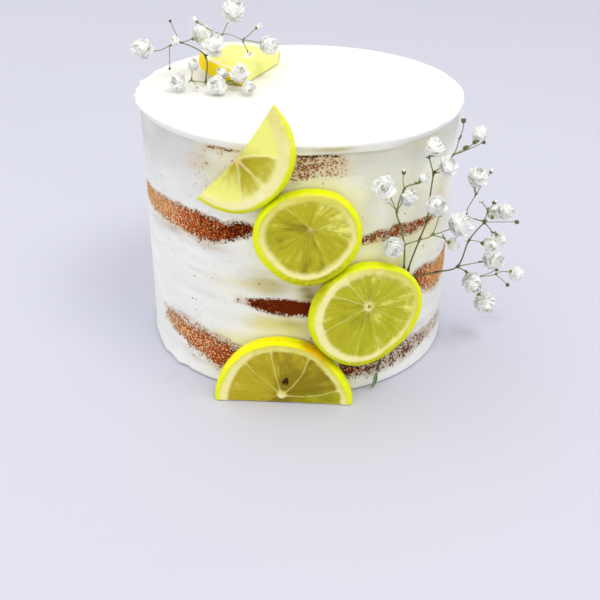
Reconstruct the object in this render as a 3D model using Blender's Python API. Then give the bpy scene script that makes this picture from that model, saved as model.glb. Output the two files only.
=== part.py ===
"""Naked layer cake, dressed with lemon slices and sprigs of baby's breath.

Four sponge layers are stacked with three thin fillings between them. A slab of icing covers
the top, and a thin scraped coat of icing covers the side, worn through to the sponge in
irregular windows. Lemon slices climb the front, one more lies on top, and small white
flowers on branching twigs are tucked behind the slices.

Units are metres and +Z is up. The origin is the centre of the cake's underside, and the
front of the cake faces -Y. An angle round the cake is 0 at the front and grows towards +X.
"""
import math
import random

import bmesh
import bpy
from mathutils import Matrix, Vector, noise

MM = 0.001

# Driving dimensions of the cake
WALL_RADIUS = 77.0 * MM
SPONGE_HEIGHT = 25.375 * MM
FILLING_HEIGHT = 6.0 * MM
TOP_ICING_HEIGHT = 4.5 * MM
RIGHT_FLATNESS = 2.2 * MM
COAT_THICKNESS = 1.15 * MM
SPONGE_INSET = 1.6 * MM
GAP = 0.3 * MM
SPONGE_COLUMNS = 48
COAT_COLUMNS = 84
RIM_COLUMNS = 76
LAYER_STEP = SPONGE_HEIGHT + FILLING_HEIGHT
CAKE_HEIGHT = 4 * SPONGE_HEIGHT + 3 * FILLING_HEIGHT + TOP_ICING_HEIGHT

# Lemon slices
SLICE_THICKNESS = 6.2 * MM
SLICE_COLUMNS = 40
FLESH_SINK = 0.55 * MM
RIM_STEP = 20.0
# Radii of each slice in mm, one for every 20 degrees round it from its right, anticlockwise.
UPPER_HALF_RADII = (28.0, 27.7, 27.6, 28.0, 28.0, 28.0, 28.0, 27.9, 28.0, 27.8, 27.8, 27.9, 27.2, 27.0,
                    27.7, 27.3, 26.9, 27.3)
UPPER_WHEEL_RADII = (22.9, 23.3, 23.2, 22.9, 22.1, 21.7, 22.3, 23.0, 23.4, 23.4, 22.7, 21.9, 22.0, 22.3,
                     22.1, 21.4, 21.3, 22.1)
LOWER_WHEEL_RADII = (26.0, 26.5, 26.2, 25.4, 25.6, 26.8, 28.0, 29.0, 29.3, 28.6, 27.6, 26.5, 26.1, 25.9,
                     25.0, 24.1, 24.4, 25.2)
BASE_HALF_RADII = (31.9, 30.4, 30.0, 30.8, 31.4, 31.7, 31.6, 30.9, 30.6, 31.1, 31.5, 31.6, 31.5, 31.4,
                   31.7, 31.8, 31.9, 32.3)
TOP_HALF_RADII = (23.4, 23.4, 23.2, 23.0, 23.2, 23.7, 24.1, 23.9, 23.3, 22.7, 22.6, 23.1, 23.7, 24.0,
                  23.8, 23.4, 23.2, 23.2)

# Windows worn through the side coat, one list for each sponge layer from the bottom up. A
# window is a run of (angle in degrees, lower edge in mm, upper edge in mm).
FRONT_WINDOWS = (
    (((-66, 17.5, 22.5), (-54, 16.5, 24), (-44, 13, 24.5), (-35, 9.5, 24.5), (-26, 7, 22), (-16, 8, 15)),
     ((14, 9, 12.5), (24, 8.4, 14), (34, 8.6, 16.5), (46, 9, 19), (56, 9.3, 17), (66, 10.5, 15))),
    (((-18, 46.3, 49.3), (-12, 44.2, 50.9), (-4, 43.7, 50.6), (5, 44, 49.5), (14, 45, 48)),
     ((42, 47.5, 51.5), (48, 43, 54.3), (58, 38.8, 52), (72, 39.6, 53.6), (84, 45, 52))),
    (((-84, 78.5, 83.5), (-72, 73.2, 84.8), (-62, 72.2, 84.9), (-48, 74.8, 86.2), (-35, 73.8, 86.8),
      (-24, 77.4, 85.8), (-14, 82.5, 85.2)),
     ((21, 77.4, 79.4), (28, 77.5, 82), (34, 76.8, 82.4), (44, 76.3, 81.2), (54, 77.8, 79.8))),
    (((-6, 111.5, 115), (-2, 109, 118), (8, 111.6, 118.4), (17, 113, 116)),),
)
BACK_START, BACK_END = 86.0, 284.0
EDGE_RAG = 0.9 * MM


def place(across, back, up):
    """Point given in millimetres: to the right, to the back and up."""
    return Vector((across, back, up)) * MM


def round_the_cake(angle, radius, height):
    """Point at an angle in degrees round the cake."""
    turn = math.radians(angle)
    return Vector((radius * math.sin(turn), -radius * math.cos(turn), height))


def wall_radius(angle):
    """Radius of the wall at an angle: round, but a little flat on the right side."""
    signed = (angle + 180.0) % 360.0 - 180.0
    return WALL_RADIUS - RIGHT_FLATNESS * math.exp(-((signed - 88.0) / 38.0) ** 2)


def finish(name, color, roughness):
    """Plain material of one piece."""
    material = bpy.data.materials.new(name)
    material.use_nodes = True
    shader = material.node_tree.nodes["Principled BSDF"]
    shader.inputs["Base Color"].default_value = (*color, 1.0)
    shader.inputs["Roughness"].default_value = roughness
    return material


def add_object(name, mesh, material):
    """Object that carries a mesh, shaded smooth except at its sharp edges."""
    mesh.shade_smooth()
    mesh.set_sharp_from_angle(angle=math.radians(40))
    mesh.materials.clear()
    mesh.materials.append(material)
    piece = bpy.data.objects.new(name, mesh)
    bpy.context.scene.collection.objects.link(piece)
    return piece


def mesh_from(name, points, faces):
    """Closed mesh from points and faces, its faces turned outwards."""
    mesh = bpy.data.meshes.new(name)
    mesh.from_pydata([tuple(p) for p in points], [], faces)
    shape = bmesh.new()
    shape.from_mesh(mesh)
    bmesh.ops.recalc_face_normals(shape, faces=shape.faces)
    shape.to_mesh(mesh)
    shape.free()
    return mesh


def turned_body(name, columns, rings, start, end):
    """Closed body from rings of points, fanned shut to a start and an end point."""
    points = [p for ring in rings for p in ring] + [start, end]
    first, last = len(points) - 2, len(points) - 1
    faces = []
    for low in range(len(rings) - 1):
        for i in range(columns):
            j = (i + 1) % columns
            a, b = low * columns, (low + 1) * columns
            faces.append((a + i, a + j, b + j, b + i))
    top = (len(rings) - 1) * columns
    for i in range(columns):
        j = (i + 1) % columns
        faces.append((first, j, i))
        faces.append((last, top + i, top + j))
    return mesh_from(name, points, faces)


def disc_layer(name, bottom, height, material, crumb=0.0):
    """Sponge or filling: a flat disc whose side has shallow relief."""
    rings = []
    for share in (0.0, 0.33, 0.67, 1.0):
        z = bottom + height * share
        ring = []
        for i in range(SPONGE_COLUMNS):
            angle = 360.0 * i / SPONGE_COLUMNS
            radius = wall_radius(angle) - SPONGE_INSET
            spot = round_the_cake(angle, radius, z)
            dent = crumb * (0.5 + 0.5 * noise.noise(spot * 260.0))
            ring.append(round_the_cake(angle, radius - dent, z))
        rings.append(ring)
    low, high = Vector((0, 0, bottom)), Vector((0, 0, bottom + height))
    mesh = turned_body(name, SPONGE_COLUMNS, rings, low, high)
    return add_object(name, mesh, material)


def lip_overhang(angle):
    """How far the top icing stands past the wall, pressed in where a slice leans on it."""
    turn = math.radians(angle)
    signed = (angle + 180.0) % 360.0 - 180.0
    wave = noise.noise(Vector((math.sin(turn) * 3.1, math.cos(turn) * 3.1, 0.4)))
    ripple = noise.noise(Vector((math.sin(turn) * 9.0, math.cos(turn) * 9.0, 2.7)))
    reach = 1.7 + 0.6 * wave + 0.5 * ripple
    front = math.exp(-((signed - 4.0) / 32.0) ** 4)
    return max(0.3, reach * (1.0 - 0.75 * front)) * MM


def top_icing(material):
    """Slab of icing on the top, with a sharp uneven lip."""
    bottom = CAKE_HEIGHT - TOP_ICING_HEIGHT + GAP / 2
    rings = []
    profile = ((0.0, 0.0, -0.5), (0.4, 0.4, 0.0), (0.86, 1.0, 0.0), (1.0, 0.86, 0.0), (1.0, 0.0, -3.0))
    for share, overhang, inset in profile:
        ring = []
        for i in range(RIM_COLUMNS):
            angle = 360.0 * i / RIM_COLUMNS
            radius = wall_radius(angle) + inset * MM + overhang * lip_overhang(angle)
            z = bottom + (CAKE_HEIGHT - bottom) * share
            ring.append(round_the_cake(angle, radius, z))
        rings.append(ring)
    for radius in (50.0 * MM, 24.0 * MM):
        ring = []
        for i in range(RIM_COLUMNS):
            spot = round_the_cake(360.0 * i / RIM_COLUMNS, radius, CAKE_HEIGHT)
            spot.z += 0.12 * MM * noise.noise(spot * 60.0) - 0.1 * MM
            ring.append(spot)
        rings.append(ring)
    low, high = Vector((0, 0, bottom)), Vector((0, 0, CAKE_HEIGHT - 0.15 * MM))
    return add_object("icing_top", turned_body("icing_top", RIM_COLUMNS, rings, low, high), material)


def back_windows(layer):
    """Windows on the unseen back of one layer, spaced and sized by a seeded rule."""
    draw = random.Random(40 + layer)
    middle = layer * LAYER_STEP + SPONGE_HEIGHT * 0.5
    windows = []
    angle = BACK_START + draw.uniform(0, 12)
    while angle < BACK_END - 24.0:
        length = draw.uniform(28, 58)
        rise = draw.uniform(-3.5, 3.5) * MM
        half = draw.uniform(2.6, 5.4) * MM
        run = []
        for share, open_share in ((0.0, 0.2), (0.25, 0.9), (0.6, 1.0), (1.0, 0.25)):
            z = middle + rise * (share - 0.5) * 2
            run.append((angle + length * share, (z - half * open_share) / MM, (z + half * open_share) / MM))
        windows.append(tuple(run))
        angle += length + draw.uniform(14, 30)
    return tuple(windows)


def window_at(windows, angle):
    """Lower and upper edge of the window at an angle, or None where the coat is whole."""
    signed = (angle + 180.0) % 360.0 - 180.0
    for run in windows:
        for (a, low_a, high_a), (b, low_b, high_b) in zip(run, run[1:]):
            here = angle if a <= angle <= b else signed
            if a <= here <= b:
                share = (here - a) / (b - a)
                return (low_a + (low_b - low_a) * share) * MM, (high_a + (high_b - high_a) * share) * MM
    return None


def base_skirt(angle, z):
    """Icing squeezed out at the foot of the wall, most of it at the front left."""
    signed = (angle + 180.0) % 360.0 - 180.0
    foot = max(0.0, 1.0 - z / (6.0 * MM))
    left = math.exp(-((signed + 52.0) / 22.0) ** 2)
    return (0.25 + 1.1 * left) * MM * foot


def side_coat(material):
    """Thin coat round the side, a grid of columns whose window cells are left open."""
    windows = [FRONT_WINDOWS[k] + back_windows(k) for k in range(4)]
    columns, opened = [], []
    for i in range(COAT_COLUMNS):
        angle = 360.0 * i / COAT_COLUMNS
        heights = [0.4 * MM, 3.2 * MM]
        cells = []
        for layer in range(4):
            found = window_at(windows[layer], angle)
            middle = layer * LAYER_STEP + SPONGE_HEIGHT * 0.5
            if found:
                rag = [EDGE_RAG * noise.noise(Vector((angle * 0.31, layer * 7.0, k))) for k in (0.2, 5.2)]
                low, high = found[0] + rag[0], found[1] + rag[1]
                if high - low < 0.9 * MM:
                    low, high = (low + high) / 2 - 0.45 * MM, (low + high) / 2 + 0.45 * MM
            else:
                low, high = middle - 3.0 * MM, middle + 3.0 * MM
            heights += [low, high]
            cells.append(bool(found))
        heights.append(CAKE_HEIGHT - TOP_ICING_HEIGHT - GAP / 2)
        columns.append((angle, heights))
        opened.append(cells)

    rows = len(columns[0][1])
    points = []
    for angle, heights in columns:
        for z in heights:
            spot = round_the_cake(angle, wall_radius(angle), z)
            streak = 0.22 * MM * noise.noise(Vector((spot.x * 30, spot.y * 30, spot.z * 120)))
            points.append(round_the_cake(angle, wall_radius(angle) + streak + base_skirt(angle, z), z))
    inner = len(points)
    for angle, heights in columns:
        points += [round_the_cake(angle, wall_radius(angle) - COAT_THICKNESS, z) for z in heights]

    def cell_kept(i, row):
        """Whether the coat covers the cell to the right of column i above a row."""
        if row < 0 or row >= rows - 1:
            return False
        if row >= 2 and row % 2 == 0 and row < rows - 2:
            layer = (row - 2) // 2
            return not (opened[i][layer] and opened[(i + 1) % COAT_COLUMNS][layer])
        return True

    faces = []
    for i in range(COAT_COLUMNS):
        j = (i + 1) % COAT_COLUMNS
        for row in range(rows):
            a, b = i * rows + row, j * rows + row
            if cell_kept(i, row):
                faces.append((a, b, b + 1, a + 1))
                faces.append((inner + a, inner + a + 1, inner + b + 1, inner + b))
            if cell_kept(i, row) != cell_kept(i, row - 1):
                faces.append((a, b, inner + b, inner + a))
            if row < rows - 1 and cell_kept(i, row) != cell_kept(i - 1 if i else COAT_COLUMNS - 1, row):
                faces.append((a, a + 1, inner + a + 1, inner + a))
    return add_object("icing_side", mesh_from("icing_side", points, faces), material)


def rim_radius(radii, turn):
    """Radius of a slice at an angle, on a smooth curve through the radii of its list."""
    step = math.degrees(turn) / RIM_STEP
    k = math.floor(step)
    share = step - k
    a, b, c, d = (radii[(k + i) % len(radii)] for i in (-1, 0, 1, 2))
    bend = 2 * a - 5 * b + 4 * c - d + share * (3 * (b - c) + d - a)
    return b + 0.5 * share * (c - a + share * bend)


def lemon_slice(name, material, radii, core, segments, seed, flare=0.0, flare_at=0.0):
    """Round slice lying in its own plane, back face at 0, rind round it, flesh sunk a little.

    A flare makes the front wider than the back round one angle.
    """
    draw = random.Random(seed)
    per_segment = SLICE_COLUMNS // segments
    columns = per_segment * segments
    shifts = [draw.uniform(-0.09, 0.09) for _ in range(segments + 1)]
    shifts[-1] = shifts[0]
    turns = []
    for k in range(segments):
        for step in range(per_segment):
            share = step / per_segment
            shift = shifts[k] * (1 - share) + shifts[k + 1] * share
            turns.append((k + share) * 2 * math.pi / segments + shift)
    thick = SLICE_THICKNESS
    profile = ((0.93, 0.0, 0), (1.0, 0.16, 0), (1.0, 0.6, 0), (0.95, 1.0, 0), (0.86, 0.985, 0),
               (0.80, 1.0, 1), (0.17, 1.0, 0.8), (0.10, 1.0, 0))
    middle = Vector((core[0], core[1], 0)) * MM
    rings = []
    for scale, level, sink in profile:
        ring = []
        for i, turn in enumerate(turns):
            spread = flare * math.exp(-(((math.degrees(turn) - flare_at + 180) % 360 - 180) / 16.0) ** 2)
            radius = rim_radius(radii, turn) * (1 + spread * (level - 0.5)) * MM
            rim = Vector((math.cos(turn), math.sin(turn), 0)) * radius
            flesh = FLESH_SINK if i % per_segment else 0.05 * MM
            spot = middle + (rim - middle) * scale
            ring.append(Vector((spot.x, spot.y, thick * level - flesh * sink)))
        rings.append(ring)
    low, high = middle.copy(), middle + Vector((0, 0, thick - 0.2 * MM))
    return add_object(name, turned_body(name, columns, rings, low, high), material)


def cut_slice(piece, corners):
    """Cut away the part of a slice that lies inside a flat outline given in millimetres."""
    mesh = bpy.data.meshes.new(piece.name + "_cut")
    shape = bmesh.new()
    floor = [shape.verts.new((x * MM, y * MM, -4 * MM)) for x, y in corners]
    face = shape.faces.new(floor)
    grown = bmesh.ops.extrude_face_region(shape, geom=[face])
    risen = [v for v in grown["geom"] if isinstance(v, bmesh.types.BMVert)]
    bmesh.ops.translate(shape, vec=(0, 0, SLICE_THICKNESS + 8 * MM), verts=risen)
    bmesh.ops.recalc_face_normals(shape, faces=shape.faces)
    shape.to_mesh(mesh)
    shape.free()
    cutter = bpy.data.objects.new(piece.name + "_cut", mesh)
    bpy.context.scene.collection.objects.link(cutter)
    cutter.parent = piece
    cutter.display_type = "WIRE"
    cutter.hide_render = True
    cut = piece.modifiers.new("cut", "BOOLEAN")
    cut.operation = "DIFFERENCE"
    cut.solver = "EXACT"
    cut.object = cutter


def stand_on_wall(piece, angle, height, off_wall, along=0.0):
    """Set a slice upright against the wall, its face outwards, shifted along its own plane."""
    turn = math.radians(angle)
    outward = Vector((math.sin(turn), -math.cos(turn), 0))
    side = Vector((math.cos(turn), math.sin(turn), 0))
    turned = Matrix((side, Vector((0, 0, 1)), outward)).transposed().to_4x4()
    turned.translation = outward * (WALL_RADIUS + off_wall) + side * along
    turned.translation.z = height
    piece.matrix_world = turned


def lemons():
    """Four slices on the front and one on top."""
    rind = finish("lemon", (0.80, 0.75, 0.08), 0.35)
    middle, low_edge, high_edge = math.radians(-37), math.radians(96.8), math.radians(94.6)
    core = (5.3 * math.cos(middle), 5.3 * math.sin(middle))
    upper_half = lemon_slice("lemon_half_upper", rind, UPPER_HALF_RADII, core, 8, 3, 0.13, 46)
    corners = [core]
    for step in (high_edge, math.radians(150), math.radians(-150), -low_edge):
        corners.append((70 * math.cos(middle + step), 70 * math.sin(middle + step)))
    cut_slice(upper_half, corners)
    stand_on_wall(upper_half, -21.1, 121.8 * MM, 0.9 * MM)

    upper = lemon_slice("lemon_wheel_upper", rind, UPPER_WHEEL_RADII, (0.6, 5.4), 10, 5)
    stand_on_wall(upper, 2.2, 84.0 * MM, 0.8 * MM)

    lower = lemon_slice("lemon_wheel_lower", rind, LOWER_WHEEL_RADII, (-1.4, 5.8), 10, 8)
    stand_on_wall(lower, 22.4, 43.3 * MM, 1.6 * MM)

    base = lemon_slice("lemon_half_base", rind, BASE_HALF_RADII, (-0.5, 2.6), 8, 11)
    cut_slice(base, ((-60, -1.4), (-60, -60), (60, -60), (60, -1.4)))
    stand_on_wall(base, -2.6, 1.4 * MM, 0.9 * MM, -3.8 * MM)

    top = lemon_slice("lemon_top", rind, TOP_HALF_RADII, (1.0, 0.5), 10, 14)
    cut_slice(top, ((-60, -8), (-60, -60), (60, -60), (60, -8)))
    chord, tilt = math.radians(67.6), math.radians(9)
    side = Vector((math.cos(chord), math.sin(chord), 0))
    away = Vector((-math.sin(chord), math.cos(chord), 0)) * math.cos(tilt) + Vector((0, 0, math.sin(tilt)))
    turned = Matrix((side, away, side.cross(away))).transposed().to_4x4()
    turned.translation = place(-20.5, 20.0, 124.5) + away * 8 * MM
    top.matrix_world = turned


# Sprigs of baby's breath. Points are in millimetres: right, back and up from the origin. A
# stem is a run of joint names, and a flower or bud hangs from the joint named before it.
TALL_SPRIG = {
    "joints": {
        "foot": (37.0, -69.6, 9.5), "bend": (39.2, -68.0, 17), "behind_low": (44.9, -64.2, 28),
        "behind": (49.2, -61.0, 45), "rise_1": (49, -61.8, 59), "rise_2": (53.2, -60.4, 74),
        "rise_3": (55.7, -60.5, 83.5), "rise_4": (55.7, -63, 95), "fork": (56.2, -63.8, 107),
        "left": (53.5, -66.4, 115), "right": (64.9, -57.8, 113.2), "high": (67.2, -55.9, 120),
    },
    "stems": (("foot", "bend", "behind_low", "behind", "rise_1", "rise_2", "rise_3", "rise_4", "fork"),
              ("fork", "left"), ("fork", "right", "high")),
    "flowers": (("left", (55.3, -65.9, 119.5), 8.3), ("fork", (61.9, -65.5, 111.2), 7.2),
                ("rise_4", (59.4, -67.1, 93.5), 9.1), ("right", (76.8, -49.1, 119.3), 6.9)),
    "buds": (("high", (68.2, -55.0, 127.8), 2.5), ("right", (71.0, -52.7, 114.5), 2.9),
             ("right", (75.0, -51.8, 112.2), 2.2), ("high", (72.3, -53.2, 124.1), 2.2)),
}
INNER_SPRIG = {
    "joints": {
        "foot": (47.6, -62.3, 50), "rise_1": (46.8, -63.7, 61.4), "rise_2": (45.8, -66.0, 74),
        "rise_3": (42.8, -68.8, 85.6), "rise_4": (40.9, -71.1, 92.5), "twig": (43.5, -70.7, 102.8),
        "twig_side": (49.1, -69.8, 105.2), "arm_1": (52.3, -66.8, 77), "arm_2": (57.8, -65.4, 78.8),
        "arm_high": (60.6, -64.4, 85.4), "arm_low": (63.8, -60.6, 75),
    },
    "stems": (("foot", "rise_1", "rise_2", "rise_3", "rise_4", "twig", "twig_side"),
              ("rise_2", "arm_1", "arm_2", "arm_high"), ("arm_2", "arm_low")),
    "flowers": (("rise_4", (46.4, -70.9, 99), 8.0), ("rise_4", (35.2, -76.6, 105.6), 9.1),
                ("rise_2", (40.6, -73.0, 76.4), 8.7), ("arm_2", (70.7, -59.0, 81.0), 10.7),
                ("arm_low", (69.4, -55.4, 69.2), 5.9), ("twig_side", (51.5, -69.4, 107.3), 4.2)),
    "buds": (("rise_4", (35.9, -75.4, 99), 2.3), ("twig", (42.5, -72.5, 111.1), 2.2)),
}
OUTER_SPRIG = {
    "joints": {
        "foot": (52.0, -57.8, 44), "rise": (52.8, -57.9, 53.1), "arm_1": (63.8, -50.6, 52.2),
        "arm_2": (74.8, -44.2, 52), "arm_3": (79.3, -41.6, 64.5), "crown": (86.4, -37.5, 72.1),
        "crown_left": (75.4, -48.8, 81.3), "crown_high": (79.2, -44.5, 88.9), "crown_up": (86.6, -40.1, 79.3),
        "crown_low": (92.5, -31.6, 63.6), "mid": (88.2, -33.0, 48.5), "low": (79.8, -38.4, 46.3),
        "low_2": (89.2, -30.2, 31.9), "far": (88.8, -30.6, 39.2), "far_2": (97.8, -26.1, 37.8),
    },
    "stems": (("foot", "rise", "arm_1", "arm_2", "arm_3", "crown"), ("crown", "crown_left", "crown_high"),
              ("crown", "crown_up"), ("crown", "crown_low"), ("arm_2", "mid"),
              ("arm_2", "low", "far", "far_2"), ("low", "low_2")),
    "flowers": (("crown_high", (79.4, -44.3, 97.6), 9.0), ("crown_up", (97.1, -31.6, 74.8), 6.7),
                ("crown_up", (93.3, -24.4, 73.4), 6.7), ("crown_low", (99.0, -25.0, 58.6), 5.4),
                ("crown_low", (90.2, -38.9, 60.0), 7.7), ("mid", (93.8, -33.4, 50.2), 10.2),
                ("low", (83.4, -41.2, 38.6), 10.3), ("low_2", (93.3, -28.1, 23.5), 11.2),
                ("far_2", (111.1, -13.6, 31.6), 7.7)),
    "buds": (("crown_high", (76.0, -41.5, 93.2), 2.3), ("crown_high", (86.0, -40.7, 99.1), 2.3),
             ("crown_up", (89.8, -38.4, 84.6), 2.3), ("crown_up", (81.9, -44.7, 86.2), 2.5),
             ("crown", (105.8, -21.6, 64.8), 2.5), ("arm_3", (77.5, -43.3, 68.2), 2.0),
             ("arm_3", (86.5, -39.0, 61.8), 2.2), ("far_2", (107.4, -15.8, 26.1), 2.6)),
}
TOP_SPRIG = {
    "joints": {
        "foot": (-46.2, 1.5, 125.6), "stand": (-46.2, 4.0, 137.6), "left": (-58.6, 12, 141.6),
        "left_end": (-64.5, 15, 139.2), "right": (-38.1, 9, 146.4), "right_end": (-28.6, 11, 143.4),
        "low": (-52.4, -1.0, 127.0),
    },
    "stems": (("foot", "stand", "left", "left_end"), ("stand", "right", "right_end"), ("foot", "low")),
    "flowers": (("left_end", (-77.7, 15, 137.6), 10.0), ("left", (-61.0, 10, 143.0), 4.4),
                ("left", (-49.6, 18, 144.2), 9.6), ("stand", (-42.0, 2, 143.6), 10.5),
                ("right", (-33.1, 14, 156.2), 10.2), ("right_end", (-16.4, 12, 140.6), 9.0),
                ("low", (-52.2, 4.5, 133.0), 5.3), ("low", (-58.0, -8.6, 128.9), 8.8)),
    "buds": (("right", (-51.4, 14, 152.0), 3.2), ("right_end", (-21.3, 15, 149.0), 3.2),
             ("right_end", (-25.5, 7, 138.2), 2.8), ("left", (-63.2, 13, 151.6), 1.6),
             ("low", (-49.4, -7.4, 126.4), 3.0), ("left_end", (-66.0, 21, 126.2), 1.6)),
}
FRONT_SPRIG = {
    "joints": {"foot": (-38.6, 0.6, 126.2), "mid": (-34.2, -3.2, 127.7), "tip": (-27.7, -7.4, 126.6)},
    "stems": (("foot", "mid", "tip"),),
    "flowers": (("mid", (-38.6, -3.6, 131.3), 6.7), ("mid", (-40.2, -12.2, 128.8), 8.6),
                ("mid", (-29.4, -6.0, 132.3), 8.2), ("tip", (-24.8, -12.6, 127.7), 6.2)),
    "buds": (),
}
STEM_RADIUS = 0.5 * MM
TWIG_RADIUS = 0.34 * MM
KNOT_RADIUS = 0.75 * MM


def tube(points, radius, end_radius, roll):
    """Four-sided tube along a run of points, closed at both ends."""
    sides = 4
    verts, faces = [], []
    for i, spot in enumerate(points):
        ahead = points[min(i + 1, len(points) - 1)] - points[max(i - 1, 0)]
        frame = ahead.to_track_quat("Z", "X").to_matrix()
        width = radius + (end_radius - radius) * i / (len(points) - 1)
        for k in range(sides):
            turn = roll + 2 * math.pi * k / sides
            verts.append(spot + frame @ Vector((math.cos(turn), math.sin(turn), 0)) * width)
    for i in range(len(points) - 1):
        for k in range(sides):
            a, b = i * sides + k, i * sides + (k + 1) % sides
            faces.append((a, b, b + sides, a + sides))
    faces.append(tuple(reversed(range(sides))))
    faces.append(tuple(range(len(verts) - sides, len(verts))))
    return mesh_from("tube", verts, faces)


def lumpy_ball(centre, radius, columns, rows, draw, lump):
    """Ball of a few faces whose points stand in and out like ruffled petals."""
    rings = []
    axis = Vector((draw.uniform(-1, 1), draw.uniform(-1, 1), draw.uniform(0.2, 1)))
    frame = axis.to_track_quat("Z", "X").to_matrix()
    for row in range(1, rows):
        tip = math.pi * row / rows
        ring = []
        for k in range(columns):
            turn = 2 * math.pi * (k + 0.5 * (row % 2)) / columns
            size = radius * (1.0 + lump * draw.uniform(-1, 1))
            across = math.sin(tip)
            spot = Vector((across * math.cos(turn), across * math.sin(turn), -math.cos(tip)))
            ring.append(centre + frame @ spot * size)
        rings.append(ring)
    pole = frame @ Vector((0, 0, radius))
    return turned_body("ball", columns, rings, centre - pole, centre + pole)


def sprig(name, plan, material, seed):
    """One sprig, its stems, knots, flowers and buds joined into a single solid."""
    draw = random.Random(seed)
    joints = {key: place(*spot) for key, spot in plan["joints"].items()}
    meshes = []
    for order, stem in enumerate(plan["stems"]):
        thick = STEM_RADIUS if order == 0 else TWIG_RADIUS
        meshes.append(tube([joints[key] for key in stem], thick, thick * 0.8, draw.uniform(0, 1)))
    starts = {stem[0] for stem in plan["stems"]} | {stem[-1] for stem in plan["stems"]}
    starts |= {row[0] for row in plan["flowers"] + plan["buds"]}
    for key in sorted(starts):
        meshes.append(lumpy_ball(joints[key], KNOT_RADIUS, 4, 2, draw, 0.05))
    for key, spot, size in plan["flowers"]:
        meshes.append(tube([joints[key], place(*spot)], TWIG_RADIUS, TWIG_RADIUS, draw.uniform(0, 1)))
        meshes.append(lumpy_ball(place(*spot), size * 0.5 * MM, 6, 4, draw, 0.1))
    for key, spot, size in plan["buds"]:
        meshes.append(tube([joints[key], place(*spot)], TWIG_RADIUS, TWIG_RADIUS, draw.uniform(0, 1)))
        meshes.append(lumpy_ball(place(*spot), size * 0.55 * MM, 5, 2, draw, 0.0))

    group = bpy.data.collections.new(name + "_parts")
    bpy.context.scene.collection.children.link(group)
    stem = bpy.data.objects.new(name + "_stem", meshes[0])
    bpy.context.scene.collection.objects.link(stem)
    parts = []
    for mesh in meshes[1:]:
        part = bpy.data.objects.new(name + "_bit", mesh)
        group.objects.link(part)
        parts.append(part)
    union = stem.modifiers.new("union", "BOOLEAN")
    union.operation = "UNION"
    union.solver = "MANIFOLD"
    union.operand_type = "COLLECTION"
    union.collection = group
    view = bpy.context.evaluated_depsgraph_get()
    joined = bpy.data.meshes.new_from_object(stem.evaluated_get(view))
    joined.name = name
    for part in parts + [stem]:
        bpy.data.objects.remove(part)
    bpy.data.collections.remove(group)
    return add_object(name, joined, material)


def foot_leaf(material):
    """Narrow leaf at the foot of the tall sprig: a thin wavy sheet with both faces alike."""
    rows, half_thick = 6, 0.28 * MM
    root, tip = place(36.4, -70.6, 8.4), place(34.6, -73.8, 1.3)
    side = Vector((0.84, 0.5, 0.1)).normalized()
    out = side.cross(tip - root).normalized()
    if out.y > 0:
        out.negate()
    points, faces = [], []
    for face in (1, -1):
        for i in range(rows + 1):
            share = i / rows
            width = 1.25 * MM * math.sin(math.pi * (0.14 + 0.82 * share)) ** 0.7
            bend = 0.5 * MM * math.sin(math.pi * share)
            spine = root.lerp(tip, share) + out * (bend + face * half_thick)
            for k in (-1, 0, 1):
                wave = 0.22 * MM * math.sin(5 * share + 2 * k)
                points.append(spine + side * width * k + out * (wave - 0.2 * MM * abs(k)))
    half = 3 * (rows + 1)
    rim = []
    for i in range(rows):
        for k in (0, 1):
            a = 3 * i + k
            faces += [(a, a + 1, a + 4), (a, a + 4, a + 3)]
            faces += [(half + a, half + a + 4, half + a + 1), (half + a, half + a + 3, half + a + 4)]
        rim += [(3 * i, 3 * i + 3), (3 * i + 2, 3 * i + 5)]
    rim += [(0, 1), (1, 2), (3 * rows, 3 * rows + 1), (3 * rows + 1, 3 * rows + 2)]
    for a, b in rim:
        faces.append((a, b, half + b, half + a))
    return add_object("leaf_foot", mesh_from("leaf_foot", points, faces), material)


def build():
    """Whole cake, from the base up."""
    for item in list(bpy.data.objects):
        bpy.data.objects.remove(item)
    crumb = finish("sponge", (0.42, 0.17, 0.07), 0.9)
    cream = finish("filling", (0.86, 0.85, 0.80), 0.55)
    icing = finish("icing", (0.90, 0.89, 0.85), 0.5)
    for layer in range(4):
        bottom = layer * LAYER_STEP + (GAP / 2 if layer else 0.0)
        top = layer * LAYER_STEP + SPONGE_HEIGHT - GAP / 2
        disc_layer("sponge_%d" % (layer + 1), bottom, top - bottom, crumb, 0.7 * MM)
        if layer < 3:
            bottom = layer * LAYER_STEP + SPONGE_HEIGHT + GAP / 2
            disc_layer("filling_%d" % (layer + 1), bottom, FILLING_HEIGHT - GAP, cream)
    top_icing(icing)
    side_coat(icing)
    lemons()
    green = finish("sprig", (0.80, 0.84, 0.76), 0.6)
    leaf = finish("leaf", (0.10, 0.20, 0.04), 0.55)
    sprig("sprig_tall", TALL_SPRIG, green, 21)
    sprig("sprig_inner", INNER_SPRIG, green, 22)
    sprig("sprig_outer", OUTER_SPRIG, green, 23)
    sprig("sprig_top", TOP_SPRIG, green, 24)
    sprig("sprig_front", FRONT_SPRIG, green, 25)
    foot_leaf(leaf)


build()
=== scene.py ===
"""Looks of the naked lemon cake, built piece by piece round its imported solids.

+Z is up and the front of the cake faces -Y. An angle round the cake is in degrees, 0 at the
front, and grows towards +X. The floor, lamps and camera are in metres. The pieces are worked out
in millimetres, and make_piece turns them into metres.
"""
import itertools
import math
import random

import bpy
import numpy as np
from mathutils import Matrix, Vector


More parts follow.
